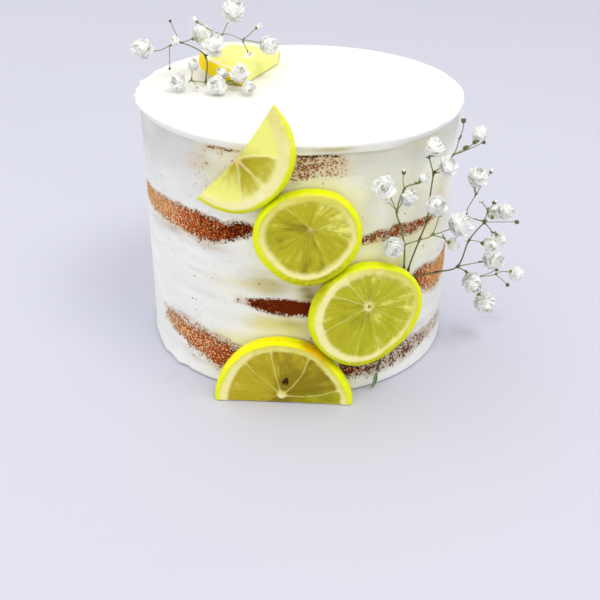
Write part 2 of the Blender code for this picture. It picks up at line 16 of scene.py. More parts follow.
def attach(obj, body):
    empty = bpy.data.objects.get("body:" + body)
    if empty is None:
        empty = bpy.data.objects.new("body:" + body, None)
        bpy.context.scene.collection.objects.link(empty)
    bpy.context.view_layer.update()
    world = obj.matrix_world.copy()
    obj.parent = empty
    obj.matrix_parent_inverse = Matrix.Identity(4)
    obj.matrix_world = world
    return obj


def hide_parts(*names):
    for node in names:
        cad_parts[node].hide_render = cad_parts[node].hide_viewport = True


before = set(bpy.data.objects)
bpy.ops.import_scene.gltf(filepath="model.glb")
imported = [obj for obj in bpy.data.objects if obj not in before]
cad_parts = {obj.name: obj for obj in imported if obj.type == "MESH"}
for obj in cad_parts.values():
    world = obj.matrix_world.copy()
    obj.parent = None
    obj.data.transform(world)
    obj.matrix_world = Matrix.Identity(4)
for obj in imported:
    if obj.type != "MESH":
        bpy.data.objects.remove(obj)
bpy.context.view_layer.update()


# Floor, light and camera. The floor is plain and pale lilac. The light is soft and comes from all
# over the sky, with three wide lamps: overhead, at the left and behind. The camera looks down on
# the cake from the front.
class Finish:
    """One node material while it is being put together."""

    def __init__(self, name):
        self.material = bpy.data.materials.new(name)
        self.material.use_nodes = True
        self.tree = self.material.node_tree
        self.shader = self.tree.nodes["Principled BSDF"]
        self.place = self.add("ShaderNodeTexCoord").outputs["Object"]

    def add(self, kind, inputs=(), **options):
        """Add a node, set its options, and set or link its inputs."""
        made = self.tree.nodes.new(kind)
        for key, value in options.items():
            setattr(made, key, value)
        for key, value in dict(inputs).items():
            self.feed(made.inputs[key], value)
        return made

    def feed(self, socket, value):
        """Link an input to a node's output, or give it a plain value."""
        if isinstance(value, bpy.types.NodeSocket):
            self.tree.links.new(value, socket)
        else:
            socket.default_value = value

    def mark(self, name):
        """Value that the mesh carries on its points under a name."""
        return self.add("ShaderNodeAttribute", attribute_name=name).outputs["Fac"]

    def grain(self, size, detail=2.0, rough=0.5, stretch=(1, 1, 1)):
        """Random value from 0 to 1 whose blots are a size in metres, drawn out along the axes."""
        scale = tuple(1.0 / (size * s) for s in stretch)
        spread = self.add("ShaderNodeMapping", {"Vector": self.place, "Scale": scale})
        inputs = {"Vector": spread.outputs[0], "Scale": 1.0, "Detail": detail, "Roughness": rough}
        return self.add("ShaderNodeTexNoise", inputs).outputs["Fac"]

    def sum(self, kind, first, second):
        """Result of one sum on two values."""
        return self.add("ShaderNodeMath", {0: first, 1: second}, operation=kind).outputs[0]

    def span(self, value, low, high, start=0.0, end=1.0):
        """Value eased from start to end while it goes from low to high."""
        inputs = {"Value": value, "From Min": low, "From Max": high, "To Min": start, "To Max": end}
        return self.add("ShaderNodeMapRange", inputs, interpolation_type="SMOOTHSTEP").outputs[0]

    def blend(self, share, first, second):
        """Colour that goes from the first to the second with a share."""
        colors = [c if isinstance(c, bpy.types.NodeSocket) else (*c, 1.0) for c in (first, second)]
        made = self.add("ShaderNodeMix", {0: share, 6: colors[0], 7: colors[1]}, data_type="RGBA")
        return made.outputs[2]

    def set(self, **sockets):
        """Set or link the shader's sockets, whose names have an underscore for each space."""
        for key, value in sockets.items():
            self.feed(self.shader.inputs[key.replace("_", " ")], value)

    def relief(self, height, distance, strength=1.0):
        """Shallow relief of a height in metres in the surface."""
        inputs = {"Height": height, "Distance": distance, "Strength": strength}
        self.set(Normal=self.add("ShaderNodeBump", inputs).outputs[0])


scene = bpy.context.scene
scene.view_settings.view_transform = "Standard"
sky = bpy.data.worlds.new("soft_sky")
sky.use_nodes = True
background = sky.node_tree.nodes["Background"]
background.inputs["Color"].default_value = (1.0, 0.992, 0.972, 1.0)
background.inputs["Strength"].default_value = 0.92
scene.world = sky

LIT_POINT = Vector((0, 0, 0.06))
for name, spot, size, power, tint in (
        ("overhead_lamp", (0.36, -0.35, 1.10), 0.5, 3.9, (1.0, 0.985, 0.95)),
        ("side_lamp", (-0.95, -0.75, 0.30), 0.9, 1.6, (1.0, 1.0, 1.0)),
        ("back_lamp", (-0.7, 0.5, 1.2), 1.2, 2.0, (0.95, 0.97, 1.0))):
    lamp = bpy.data.lights.new(name, "AREA")
    lamp.shape, lamp.size, lamp.energy, lamp.color = "DISK", size, power, tint
    holder = bpy.data.objects.new(name, lamp)
    holder.location = spot
    holder.rotation_euler = (LIT_POINT - Vector(spot)).to_track_quat("-Z", "Y").to_euler()
    scene.collection.objects.link(holder)

FLOOR_DROP = 0.0004
floor_finish = Finish("pale_floor")
cloud = floor_finish.grain(0.25, 2.0)
lilac = floor_finish.blend(cloud, (0.610, 0.615, 0.725), (0.635, 0.640, 0.750))
floor_finish.set(Base_Color=lilac, Roughness=0.7)
floor_finish.relief(floor_finish.grain(0.004, 3.0), 0.0001, 0.3)
floor_mesh = bpy.data.meshes.new("floor")
floor_corners = [(x, y, -FLOOR_DROP) for x, y in ((-4, -4), (4, -4), (4, 6), (-4, 6))]
floor_mesh.from_pydata(floor_corners, [], [(0, 1, 2, 3)])
floor_mesh.materials.append(floor_finish.material)
floor = bpy.data.objects.new("floor", floor_mesh)
scene.collection.objects.link(floor)

CAMERA_PLACE = (0, -0.42188, 0.2541)
PITCH, ROLL = math.radians(30.42), math.radians(0.66)
FOCAL_LENGTH, SENSOR_WIDTH = 54.0, 36.0
ahead = Vector((0, math.cos(PITCH), -math.sin(PITCH)))
right, above = Vector((1, 0, 0)), Vector((0, math.sin(PITCH), math.cos(PITCH)))
right, above = (right * math.cos(ROLL) + above * math.sin(ROLL),
                above * math.cos(ROLL) - right * math.sin(ROLL))
view = Matrix((right, above, -ahead)).transposed().to_4x4()
view.translation = Vector(CAMERA_PLACE)
lens = bpy.data.cameras.new("camera")
lens.lens, lens.sensor_width, lens.clip_start = FOCAL_LENGTH, SENSOR_WIDTH, 0.01
camera = bpy.data.objects.new("camera", lens)
camera.matrix_world = view
scene.collection.objects.link(camera)
scene.camera = camera


# Four layers of red-brown sponge, baked in round tins and stacked. Their open crumb shows where
# the coat of icing has been scraped off.
MM = 0.001
# Radius of the wall, thickness of a layer and of a filling, and height of the cake.
WALL, LAYER, FILLING, CAKE_TOP = 77.0, 25.375, 6.0, 124.0
# Where the coat is worn through: rows of angle, lower edge, upper edge, how tan the crumb is and
# how bare, then the millimetres over which the lower and the upper edge fade.
WORN = [
    (((-58, 20.2, 24.0, 0.8, -0.1), (-54, 17.6, 25.2, 0.8, 0.4), (-49, 15.8, 25.4, 0.75, 0.7),
      (-41, 13.0, 24.8, 0.6, 0.9), (-35, 10.6, 24.2, 0.6, 1.0), (-29, 7.8, 23.4, 0.5, 1.2),
      (-20, 6.5, 20, 0.45, 1.2), (-14, 8, 14, 0.4, 0.8)), 2.4, 3.6),
    (((8, 11, 13, 0.4, 0.1), (16, 8.8, 15.5, 0.2, 0.4), (24, 8.4, 13.2, 0.2, 0.25),
      (30, 9.1, 14.2, 0.2, -0.14), (37, 9.4, 16.4, 0.1, -0.06), (43, 10.6, 16.8, 0.1, 0.0),
      (49, 11.8, 16.6, 0.15, -0.24), (57, 12.4, 16.4, 0.2, -0.40), (66, 12.4, 15.6, 0.2, -0.62),
      (74, 12, 14, 0.2, -0.9)), 3.6, 2.6),
    (((-19.5, 47.6, 48.6, 0.3, -0.8), (-17, 46.2, 49.4, 0.1, 0.6), (-14.5, 45.1, 49.9, -0.3, 1.5),
      (-10.5, 44.1, 51.1, -0.7, 1.9), (-5, 43.2, 51.2, -0.9, 2.0), (4, 43.4, 50.2, -0.9, 2.0),
      (12, 44.5, 48.5, -0.5, 1.0)), 1.0, 0.9),
    (((41, 48, 51, 0.4, 0.2), (45, 49.0, 54.2, 0.4, 1.1), (50, 41.9, 54.6, 0.6, 1.4),
      (57, 38.8, 52.0, 0.82, 1.4), (63, 38.6, 51.2, 0.88, 1.5), (71, 39.5, 53.5, 0.92, 1.5),
      (79, 42, 55, 0.9, 1.3), (86, 46, 52, 0.8, 0.4)), 2.8, 2.0),
    (((-96, 80.5, 82.5, 0.9, 0.1), (-86, 78.6, 84.2, 0.95, 0.5), (-74, 77.2, 84.4, 0.95, 0.55),
      (-65, 76.0, 84.2, 0.9, 0.7), (-54, 76.3, 85.6, 0.8, 0.85), (-46, 75.6, 86.6, 0.65, 0.95),
      (-37, 74.3, 86.7, 0.45, 1.1), (-30, 74.9, 86.0, 0.35, 1.2), (-24.5, 77.3, 84.6, 0.25, 1.3),
      (-22.5, 78.2, 86.9, 0.05, 1.4), (-18, 80.6, 86.9, 0.0, 1.4), (-14.5, 83.2, 85.2, 0.3, 0.6)),
     1.7, 1.8),
    (((20, 77.8, 79.6, 0.3, 0.2), (24, 77.4, 81.6, 0.42, 0.35), (27, 77.8, 81.9, 0.46, 0.4),
      (30, 77.5, 80.6, 0.46, 0.3), (32, 77.2, 82.9, 0.46, 0.4), (38, 76.4, 81.5, 0.5, 0.5),
      (43, 76.3, 81.4, 0.5, 0.4), (48, 77.2, 80.4, 0.45, 0.3), (54, 78, 79.8, 0.4, 0.1)), 1.2, 1.0),
    (((-6, 111, 115, 0.5, 0.1), (-1, 109.4, 118.6, 0.50, 0.10), (3, 110.4, 118.9, 0.52, -0.04),
      (7, 112.4, 119.0, 0.56, -0.30), (10, 111.4, 118.6, 0.6, -0.50), (13, 111.4, 117.4, 0.6, -0.84),
      (16, 113.0, 116.0, 0.6, -1.3)), 2.2, 0.7),
    (((-1, 118.3, 119.3, 0.1, 0.3), (3, 118.5, 119.4, 0.1, 0.8), (8, 119.0, 119.6, 0.1, 0.7),
      (11, 118.6, 119.0, 0.1, 0.3)), 0.5, 0.5),
    (((-30, 118.9, 119.2, 0.3, -0.2), (-28, 118.9, 119.4, 0.3, 0.5), (-25.5, 119.2, 119.5, 0.3, 0.1),
      (-24, 118.7, 119.2, 0.3, 0.5), (-21, 118.9, 119.3, 0.3, 0.3)), 0.5, 0.5),
    (((-40, 104, 110, 0.8, -1.5), (-32, 106, 117.6, 0.8, -1.2), (-24, 107, 118.0, 0.8, -1.05)),
     5.0, 2.0),
]
# Streaks where the scraper left a translucent film: angle, height, half length in degrees, half
# width, rise for a degree, and then up to three amounts: how far the crumb tints it, how far lemon
# juice tints it and how dark painted shadow makes it, as in the shade between the slices and the wall.
STREAKS = [
    (-64, 70.0, 8, 3.0, 0.0, 0.35), (-50, 73.0, 7, 2.6, 0.0, 0.60), (-33, 71.5, 7, 2.2, 0.1, 0.45, 0.1),
    (-46, 28.8, 7, 2.4, 0.0, 0.55), (-33, 27.4, 6, 1.8, -0.1, 0.45, 0.1),
    (-42, 9.0, 8, 2.4, -0.3, 0.45), (-24, 27.5, 6, 3.0, -0.2, 0.25, 0.45),
    (-30, 56.0, 10, 1.6, -0.15, 0.22, 0.1), (-34, 47.0, 9, 1.5, 0.0, 0.22),
    (-18, 56.5, 7, 3.0, 0.0, 0.25, 0.30), (-11, 58.4, 7, 5.0, -0.1, 0.85, 0.40, 0.26),
    (-20, 50.4, 4, 1.2, 0.0, 0.25, 0.2), (-24, 54.0, 9, 7.0, 0.0, 0.0, 0.20),
    (-10, 38.6, 8, 3.6, 0.0, 0.45, 0.9, 0.20), (-3, 40.2, 4, 2.2, 0.0, 0.50, 0.5, 0.32),
    (0, 37.0, 6, 4.5, 0.0, 0.15, 1.3, 0.34), (2.4, 54.5, 3.0, 4.2, 0.0, 0.2, 0.7, 0.95),
    (27, 90.0, 8, 11.0, 0.0, -0.2, -0.25), (54, 86.0, 8, 16.0, 0.0, 0.22, 0.10, 0.03),
    # The rows at 119 to 120 mm paint the soft shadow line under the rim's lip.
    (-33, 112.0, 8, 5.0, 0.0, 0.16), (-42, 119.8, 12, 1.6, 0.0, 0.30),
    (-26, 119.0, 7, 1.4, 0.0, 0.4, 0.1), (6, 113.5, 8, 5.6, 0.0, 0.44, 0.26),
    (19, 115.5, 6, 2.6, 0.0, 0.22), (-25, 72.0, 6, 2.8, 0.0, 0.32),
    (10, 119.4, 12, 1.0, 0.02, 0.40, 0.10), (24, 77.0, 5, 2.0, 0.0, 0.4, 0.3),
    (50, 73.0, 9, 4.0, 0.0, 0.25, 0.30), (42, 117.6, 12, 2.4, 0.0, 0.16, 0.12),
    (58, 100.0, 3.2, 14.0, 0.0, 0.18, 0.1, 0.04), (36, 12.6, 14, 3.6, 0.1, 0.42, 0.12, 0.02),
    (50, 22.0, 10, 2.5, 0.1, 0.35),
]
# The sides and the back are worn and streaked in the same manner, by a seeded draw for each layer.
BACK_START, BACK_END, BACK_SEED = 84.0, 282.0, 52
RUN_SHARES = (0.0, 0.14, 0.3, 0.45, 0.6, 0.72, 0.86, 1.0)
for layer in range(4):
    draw = random.Random(BACK_SEED + layer)
    middle = layer * (LAYER + FILLING) + LAYER * 0.5
    angle = BACK_START + draw.uniform(0, 16)
    while angle < BACK_END - 18.0:
        length, rise, half = draw.uniform(12, 56), draw.uniform(-5, 5), draw.uniform(1.4, 5.6)
        blunt, tan = draw.choice((-1, 1)), draw.uniform(0.0, 0.7)
        more_tan, drift = draw.uniform(-0.3, 0.5), draw.uniform(-3, 3)
        run = []
        for share in RUN_SHARES:
            body = 0.5 + blunt * (share - 0.5)
            gape = half * (0.22 + 0.9 * body ** 0.7) * draw.uniform(0.65, 1.3)
            level = middle + drift + rise * (share - 0.5) * 2 + draw.uniform(-1.0, 1.0)
            run.append((angle + min(length, BACK_END - angle) * share, level - gape, level + gape,
                        min(max(tan + more_tan * share, 0.0), 0.95), 1.3 * body - 0.25))
        WORN.append((tuple(run), draw.uniform(0.9, 3.2), draw.uniform(0.8, 2.6)))
        for side_way in (-1, 1):
            STREAKS.append((angle + length * draw.uniform(0.2, 0.8),
                            middle + drift + side_way * (half + 2.5), length * 0.35,
                            draw.uniform(1.2, 3.0), rise / length, draw.uniform(0.15, 0.55)))
        angle += length + draw.uniform(9, 46)


PRIMES, SEED_STEP = (73856093, 19349663, 83492791), 7919


def scrambled(key):
    """Whole numbers scrambled twice: folded on themselves by shifts, multiplied and cut to 32 bits."""
    key = (key ^ (key >> 13)) * 1274126177 & 0xFFFFFFFF
    return (key ^ (key >> 16)) * 2246822519 & 0xFFFFFFFF


def grain(points, size, seed=0):
    """Smooth random value from -1 to 1 at each point.

    Space is cut into cubes of a size; each corner has a random value, made by scrambling its whole
    numbers, and the eight corners are averaged with eased weights.
    """
    cell = np.floor(points / size)
    part = points / size - cell
    part = part * part * (3 - 2 * part)
    cell = cell.astype(np.int64)
    total = np.zeros(points.shape[:-1])
    for corner in itertools.product((0, 1), repeat=3):
        key = scrambled(((cell + corner) * PRIMES).sum(-1) + seed * SEED_STEP)
        weight = np.where(corner, part, 1 - part).prod(-1)
        total += weight * ((key >> 8) / 8388607.5 - 1.0)
    return total


def ease(value, low, high):
    """0 below low and 1 above high. In between, with the share of the way from low to high: three
    times its square less twice its cube."""
    share = np.clip((value - low) / (high - low), 0, 1)
    return share * share * (3 - 2 * share)


def bell(value, middle, width):
    """Bell curve: 1 at its middle, falling off with the square of the distance over its width."""
    return np.exp(-((value - middle) / width) ** 2)


def half_turn(angle, half=180.0):
    """Angle brought between minus and plus half a turn, by taking off whole turns."""
    return (angle + half) % (2 * half) - half


def all_round(columns, turn=360.0):
    """Angles of columns evenly spaced over a whole turn: their number times the turn, shared out."""
    return np.arange(columns) * turn / columns


def wall_radius(angle):
    """Radius of the wall: round, less a bell-shaped flat on the right side."""
    return WALL - 2.2 * bell(half_turn(angle), 88.0, 38.0)


def ring_point(angle, radius, height):
    """Points at angles round the cake: sine and minus cosine of the angle times the radius."""
    turn = np.radians(angle)
    return np.stack(np.broadcast_arrays(radius * np.sin(turn), -radius * np.cos(turn), height), -1)


END_FADE = 3.0 / 1.34    # degrees in 3 mm of the wall


def icing_cover(angle, height):
    """How well icing covers the wall, and how tan the crumb is, at angles and heights.

    For each worn place: the largest of the height above its upper edge, the height below its lower
    edge and the way past its ends, each over its own fade, and of minus how bare it is. The least
    of all places, roughened by grain, is the cover: 0 at an edge, negative where the sponge shows.
    """
    cover, tone = np.full(np.broadcast(angle, height).shape, 3.0), 0.5
    for rows, fade_low, fade_high in WORN:
        turn, low, high, shade, bare = np.array(rows).T
        here = half_turn(angle - turn.mean()) + turn.mean()
        past = np.maximum(turn[0] - here, here - turn[-1]) / END_FADE
        above_it = (height - np.interp(here, turn, high)) / fade_high
        below_it = (np.interp(here, turn, low) - height) / fade_low
        found = np.maximum(np.maximum(above_it, below_it), past)
        found = np.maximum(found, -np.interp(here, turn, bare))
        tone = np.where(found < cover, np.interp(here, turn, shade), tone)
        cover = np.minimum(cover, found)
    spots = ring_point(angle, WALL, height)
    cover = cover + 0.30 * grain(spots, 3.4, 1) + 0.22 * grain(spots, 1.3, 2)
    return cover, np.broadcast_to(tone, cover.shape)


def bordered(rows, before, after, value):
    """Rows with more rows of one value set before and after them, as marks of one piece."""
    return np.pad(rows, ((before, after), (0, 0)), constant_values=value)[None]


def make_piece(name, parts, material, slot_name, *nodes):
    """One object from parts, put in place of its nodes, riding on the cake.

    A part is rings of points in mm (piece, ring, point, xyz), a start point and an end point for
    each piece, and marks: values on the points, at the start and at the end. Neighbouring rings are
    joined by four-sided faces. The first and last ring are fanned shut to the start and the end, or
    joined to each other where there is no start.
    """
    points, fours, threes, marks, count = [], [], [], {}, 0
    for rings, start, end, part_marks in parts:
        pieces, rows, columns, _ = rings.shape
        index = np.arange(pieces * rows * columns).reshape(pieces, rows, columns) + count
        ahead_of = np.roll(index, -1, axis=2)
        if start is None:
            low, low_ahead = index, ahead_of
            high, high_ahead = np.roll(index, -1, axis=1), np.roll(ahead_of, -1, axis=1)
        else:
            low, low_ahead = index[:, :-1], ahead_of[:, :-1]
            high, high_ahead = index[:, 1:], ahead_of[:, 1:]
        fours.append(np.stack((low, low_ahead, high_ahead, high), -1).reshape(-1, 4))
        points.append(rings.reshape(-1, 3))
        count += rings.size // 3
        if start is not None:
            first = np.broadcast_to(count + np.arange(pieces)[:, None], (pieces, columns))
            last = first + pieces
            threes.append(np.stack((first, ahead_of[:, 0], index[:, 0]), -1).reshape(-1, 3))
            threes.append(np.stack((last, index[:, -1], ahead_of[:, -1]), -1).reshape(-1, 3))
            points += [np.broadcast_to(start, (pieces, 3)), np.broadcast_to(end, (pieces, 3))]
            count += 2 * pieces
        for key, (value, at_start, at_end) in part_marks.items():
            row = [np.broadcast_to(value, rings.shape[:3]).ravel()]
            if start is not None:
                row += [np.broadcast_to(at_start, pieces), np.broadcast_to(at_end, pieces)]
            marks.setdefault(key, []).append(np.concatenate(row))
    points = np.concatenate(points) * MM
    fours = np.concatenate(fours)
    threes = np.concatenate(threes) if threes else np.zeros((0, 3), int)
    mesh = bpy.data.meshes.new(name)
    mesh.vertices.add(len(points))
    mesh.vertices.foreach_set("co", points.astype(np.float32).ravel())
    mesh.loops.add(fours.size + threes.size)
    around = np.concatenate((fours.ravel(), threes.ravel()))
    mesh.loops.foreach_set("vertex_index", around.astype(np.int32))
    starts = np.concatenate((np.arange(len(fours)) * 4, fours.size + np.arange(len(threes)) * 3))
    mesh.polygons.add(len(starts))
    mesh.polygons.foreach_set("loop_start", starts.astype(np.int32))
    mesh.polygons.foreach_set("use_smooth", np.ones(len(starts), bool))
    mesh.update(calc_edges=True)
    for key, rows in marks.items():
        held = mesh.attributes.new(key, "FLOAT", "POINT")
        held.data.foreach_set("value", np.concatenate(rows).astype(np.float32))
    mesh.materials.append(material)
    piece = bpy.data.objects.new(name, mesh)
    scene.collection.objects.link(piece)
    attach(piece, "root")
    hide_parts(*nodes)


def iced_crumb(name, sponge_under):
    """Finish of the wall: crumb where the cover is low and icing where it is high.

    The same speckled edge is drawn on the sponge and on the coat, so that the two meet unseen. The
    crumb is red-brown, tan or scorched by its tone, with pale flecks that mix paler crumb and painted
    highlights, and it is darker at a window's edge, partly painted shade in its pits. The icing is
    white, greyed high up by painted shade, tinted by a haze of crumb that also paints the shadow line
    under the rim, by a thin film of crumb and by juice, darkened by painted shadow, and dotted with
    specks.
    """
    made = Finish(name)
    fine = made.grain(0.0010, 3.0, 0.65)
    blots = made.grain(0.0036, 2.0, 0.5)
    cover, tone = made.mark("cover"), made.mark("tone")
    edge = made.sum("ADD", cover, made.span(fine, 0.30, 0.70, -1.1, 1.1))
    edge = made.sum("ADD", edge, made.span(blots, 0.3, 0.7, -0.35, 0.35))
    iced = made.span(edge, -0.10, 0.16)

    flecks, glints = made.grain(0.0012, 3.0, 0.65), made.grain(0.0010, 2.0, 0.55)
    streaks = made.grain(0.0016, 3.0, 0.6, (1, 1, 3.5))
    shade = made.span(tone, 0.0, 1.0, -0.13, 0.12)
    crumb = made.blend(made.span(made.sum("ADD", flecks, shade), 0.36, 0.50), (0.075, 0.010, 0.002),
                       (0.430, 0.088, 0.015))
    # Pale flecks: paler crumb, together with painted highlights where raised crumbs catch the light.
    pale = made.blend(made.span(tone, 0.2, 0.6), (0.700, 0.315, 0.130), (0.920, 0.560, 0.300))
    crumb = made.blend(made.span(made.sum("ADD", glints, shade), 0.52, 0.64), crumb, pale)
    crumb = made.blend(made.span(tone, -1.0, 0.0, 0.92, 0.0), crumb, (0.140, 0.018, 0.003))
    mixed = made.sum("ADD", made.sum("MULTIPLY", flecks, 0.5), made.sum("MULTIPLY", streaks, 0.5))
    tan = made.blend(made.span(mixed, 0.42, 0.58), (0.510, 0.190, 0.042), (0.830, 0.465, 0.170))
    crumb = made.blend(made.span(tone, 0.60, 1.0, 0.0, 0.85), crumb, tan)
    # Darker brown just inside a window's edge: the crumb's own darker specks, together with painted
    # shade in its pits under the icing's edge.
    rim = made.blend(made.span(tone, 0.15, 0.65), (0.120, 0.052, 0.020), (0.345, 0.155, 0.062))
    crumb = made.blend(made.span(cover, -0.60, 0.00, 0.0, 0.86), crumb, rim)

    drag = made.grain(0.016, 2.0, 0.5, (1.6, 1.6, 0.5))
    icing = made.blend(made.span(drag, 0.35, 0.65), (0.845, 0.851, 0.822), (0.900, 0.902, 0.880))
    scuffs = made.grain(0.0055, 4.0, 0.65, (1.5, 1.5, 0.6))
    icing = made.blend(made.span(scuffs, 0.54, 0.72, 0.0, 0.36), icing, (0.600, 0.585, 0.500))
    # Painted shade: the icing greys high up, under the rim's lip.
    icing = made.blend(made.mark("painted_rim_shade"), icing, (0.620, 0.626, 0.612))
    # Haze of crumb; in the rows just under the rim it is painted shade, the shadow line of the lip.
    icing = made.blend(made.mark("haze_and_shade"), icing, (0.520, 0.430, 0.350))
    icing = made.blend(made.mark("juice"), icing, (0.960, 0.910, 0.370))
    film = made.blend(tone, (0.580, 0.470, 0.380), (0.720, 0.530, 0.300))
    pulled = made.sum("ADD", cover, made.span(drag, 0.3, 0.7, -0.35, 0.35))
    thin = made.span(pulled, 0.0, 1.5, 0.80, 0.0)
    icing = made.blend(thin, icing, made.blend(made.mark("juice"), film, (0.600, 0.500, 0.150)))
    # Painted shadow: dark olive where the icing would lie in shade between the slices and the wall.
    icing = made.blend(made.mark("painted_shadow"), icing, (0.170, 0.125, 0.010))
    specks = made.grain(0.0021, 1.0, 0.4)
    icing = made.blend(made.span(specks, 0.745, 0.79, 0.0, 0.70), icing, (0.25, 0.18, 0.14))
    made.set(Base_Color=made.blend(iced, crumb, icing), Roughness=made.span(iced, 0.0, 1.0, 0.95, 0.50),
             Specular_IOR_Level=0.02 if sponge_under else 0.08)
    pitted = made.sum("MULTIPLY", flecks, made.span(iced, 0.0, 1.0, 1.0, 0.12))
    made.relief(pitted, 0.0008, 0.7 if sponge_under else 0.5)
    return made.material


SPONGE_COLUMNS, SPONGE_ROWS = 880, 42
LAYER_GAP, SKIN_DEPTH = 0.15, 0.42
# The underside is closed by three rings, given as shares of its radius, and so is the upper side.
NARROWING = np.array([[0.35], [0.7], [0.97]])
crumb_finish = iced_crumb("sponge_crumb", True)
angles = all_round(SPONGE_COLUMNS)
for layer in range(4):
    base = layer * (LAYER + FILLING) + LAYER_GAP
    heights = base + (LAYER - 2 * LAYER_GAP) * np.linspace(0, 1, SPONGE_ROWS)[:, None]
    cover, tone = icing_cover(angles, heights)
    spots = ring_point(angles, wall_radius(angles), heights)
    pores = ease(grain(spots, 2.4, 5), 0.25, 0.75)
    crumbs = 0.20 * grain(spots, 1.5, 3) + 0.13 * grain(spots, 0.8, 4) - 0.38 * pores
    radius = wall_radius(angles) - SKIN_DEPTH + crumbs
    side = ring_point(angles, radius, heights)
    under = ring_point(angles, radius[0] * NARROWING, heights[0])
    over = ring_point(angles, radius[-1] * NARROWING[::-1], heights[-1])
    rings = np.concatenate((under, side, over))[None]
    ends = [np.array((0, 0, level)) for level in heights[[0, -1], 0]]
    marks = {"cover": (bordered(cover, 3, 3, -1.5), -1.5, -1.5),
             "tone": (bordered(tone, 3, 3, 0.4), 0.4, 0.4)}
    marks.update({key: (0.0, 0.0, 0.0) for key in ("juice", "painted_rim_shade", "haze_and_shade", "painted_shadow")})
    make_piece("sponge_layer_%d" % (layer + 1), [(rings, *ends, marks)], crumb_finish,
               "sponge", "sponge_%d" % (layer + 1))


# Three fillings of white cream between the layers. The coat hides them, so their solids stay and
# only get the cream's finish.
cream = Finish("cream")
off_white = cream.blend(cream.grain(0.006, 3.0), (0.80, 0.79, 0.72), (0.90, 0.89, 0.84))
cream.set(Base_Color=off_white, Roughness=0.5)
cream.relief(cream.grain(0.002, 3.0), 0.0004, 0.5)
for name in ("filling_1", "filling_2", "filling_3"):
    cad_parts[name].data.materials[0] = cream.material


# Coat of white icing on the side, pulled thin with a scraper until the sponge shows through. It
# is one closed skin that dips under the sponge where it is worn through, with a squeezed foot.
COAT_COLUMNS, COAT_ROWS, TOP_ROWS = 610, 130, 18
COAT_BACK = 2.6    # from the wall to the back of the coat


def streaked(angle, height):
    """How far crumb and juice tint the icing, and how dark painted shadow makes it: the sum of bell
    shapes, one for each streak.

    The bell's middle line climbs with the angle, and grain breaks it up into drawn-out wisps.
    """
    wisp = 1 + 0.55 * grain(ring_point(angle, WALL / 3.0, height), 2.4, 31)
    tints = [np.zeros(wisp.shape) for _ in range(3)]
    for turn, level, long, wide, climb, *amounts in STREAKS:
        off = half_turn(angle - turn)
        shape = bell(off, 0, long) * bell(height, level + climb * off, wide)
        for tint, amount in zip(tints, amounts):
            tint += amount * shape * wisp
    return tints


angles = all_round(COAT_COLUMNS)
signed = half_turn(angles)
heights = np.concatenate((np.linspace(0.4, 115, COAT_ROWS),
                          np.linspace(115.35, CAKE_TOP - 3.5, TOP_ROWS)))[:, None]
cover, tone = icing_cover(angles, heights)
spots = ring_point(angles, WALL, heights)
drawn = ring_point(angles, WALL / 3.2, heights)
thick = 0.55 * np.clip(cover * 0.9 + 0.1, -1.5, 1.0)
smears = 0.06 * grain(drawn, 3.2, 11) + 0.17 * grain(drawn, 9.0, 12) + 0.02 * grain(spots, 1.8, 13)
foot = np.maximum(0.0, 1.0 - heights / 6.0)
skirt = foot * (0.25 + 1.25 * bell(signed, -52.0, 22.0) * (1 + 0.7 * grain(spots, 4.5, 14)))
ridge = 0.7 * bell(heights, 120.1 + 0.5 * np.sin(signed * 0.16), 0.55)
ridge = ridge * ease(signed, -4, 2) * (1 - ease(signed, 22, 40))
outer = wall_radius(angles) - 0.50 + thick + smears * ease(thick, 0.0, 0.8) + skirt + ridge

# Lemon juice tints the icing close to a slice, given by its angle, height and reach, and in a wide
# field at the right. Painted shade greys the icing high up, under the rim, more to the right and
# less beside the upper half slice.
SLICES_NEAR = ((-17.0, 119.0, 22), (2.2, 84.0, 22), (22.4, 44.5, 26), (-5.4, 1.4, 31))
near = [np.hypot(half_turn(angles - turn) * math.radians(WALL), heights - level) - reach
        for turn, level, reach in SLICES_NEAR]
haze_and_shade, wet, painted_shadow = streaked(angles, heights)
juice = 0.42 * np.exp(-np.maximum(np.min(near, 0), 0) / 4.5)
juice = juice * (1 - 0.6 * ease(-signed, 16, 26) * ease(heights, 96, 106))
field = 0.26 * ease(signed, 2, 12) * (1 - ease(signed, 45, 75)) * ease(heights, 52, 66)
field = field * (1 - 0.6 * ease(heights, 98, 112)) * (1 + 0.4 * grain(spots, 14.0, 16))
juice = (juice + field + wet * 0.8) * (1 + 0.35 * grain(spots, 9.0, 15))
# Strength of the painted shade under the rim: more to the right, broken up by grain.
shaded = 0.78 + 0.12 * ease(signed, 10, 30) + 0.3 * grain(spots, 12.0, 17)
painted_rim_shade = ease(heights, 78 + 24 * ease(signed, 0, 15), 117) * shaded * (1 - 0.35 * bell(signed, -23, 7))
marks = {key: (bordered(value, 0, 3, behind), 0, 0) for key, value, behind in (
    ("cover", cover, 2.0), ("tone", tone, 0.5), ("juice", np.clip(juice, 0, 1), 0), ("painted_rim_shade", painted_rim_shade, 0),
    ("haze_and_shade", np.clip(haze_and_shade, 0, 0.85), 0), ("painted_shadow", np.clip(painted_shadow, 0, 1), 0))}
back_heights = heights[[-1, len(heights) // 2, 0]]
back = ring_point(angles, wall_radius(angles) - COAT_BACK, back_heights)
rings = np.concatenate((ring_point(angles, outer, heights), back))[None]
make_piece("scraped_coat", [(rings, None, None, marks)], iced_crumb("scraped_icing", False),
           "icing", "icing_side")


# Slab of icing on the top, smoothed flat with a palette knife. Its rim stands out past the wall
# as an uneven, softly broken lip.
RIM_COLUMNS, FLAT_ROWS = 720, 46
SLAB = 4.35    # thickness
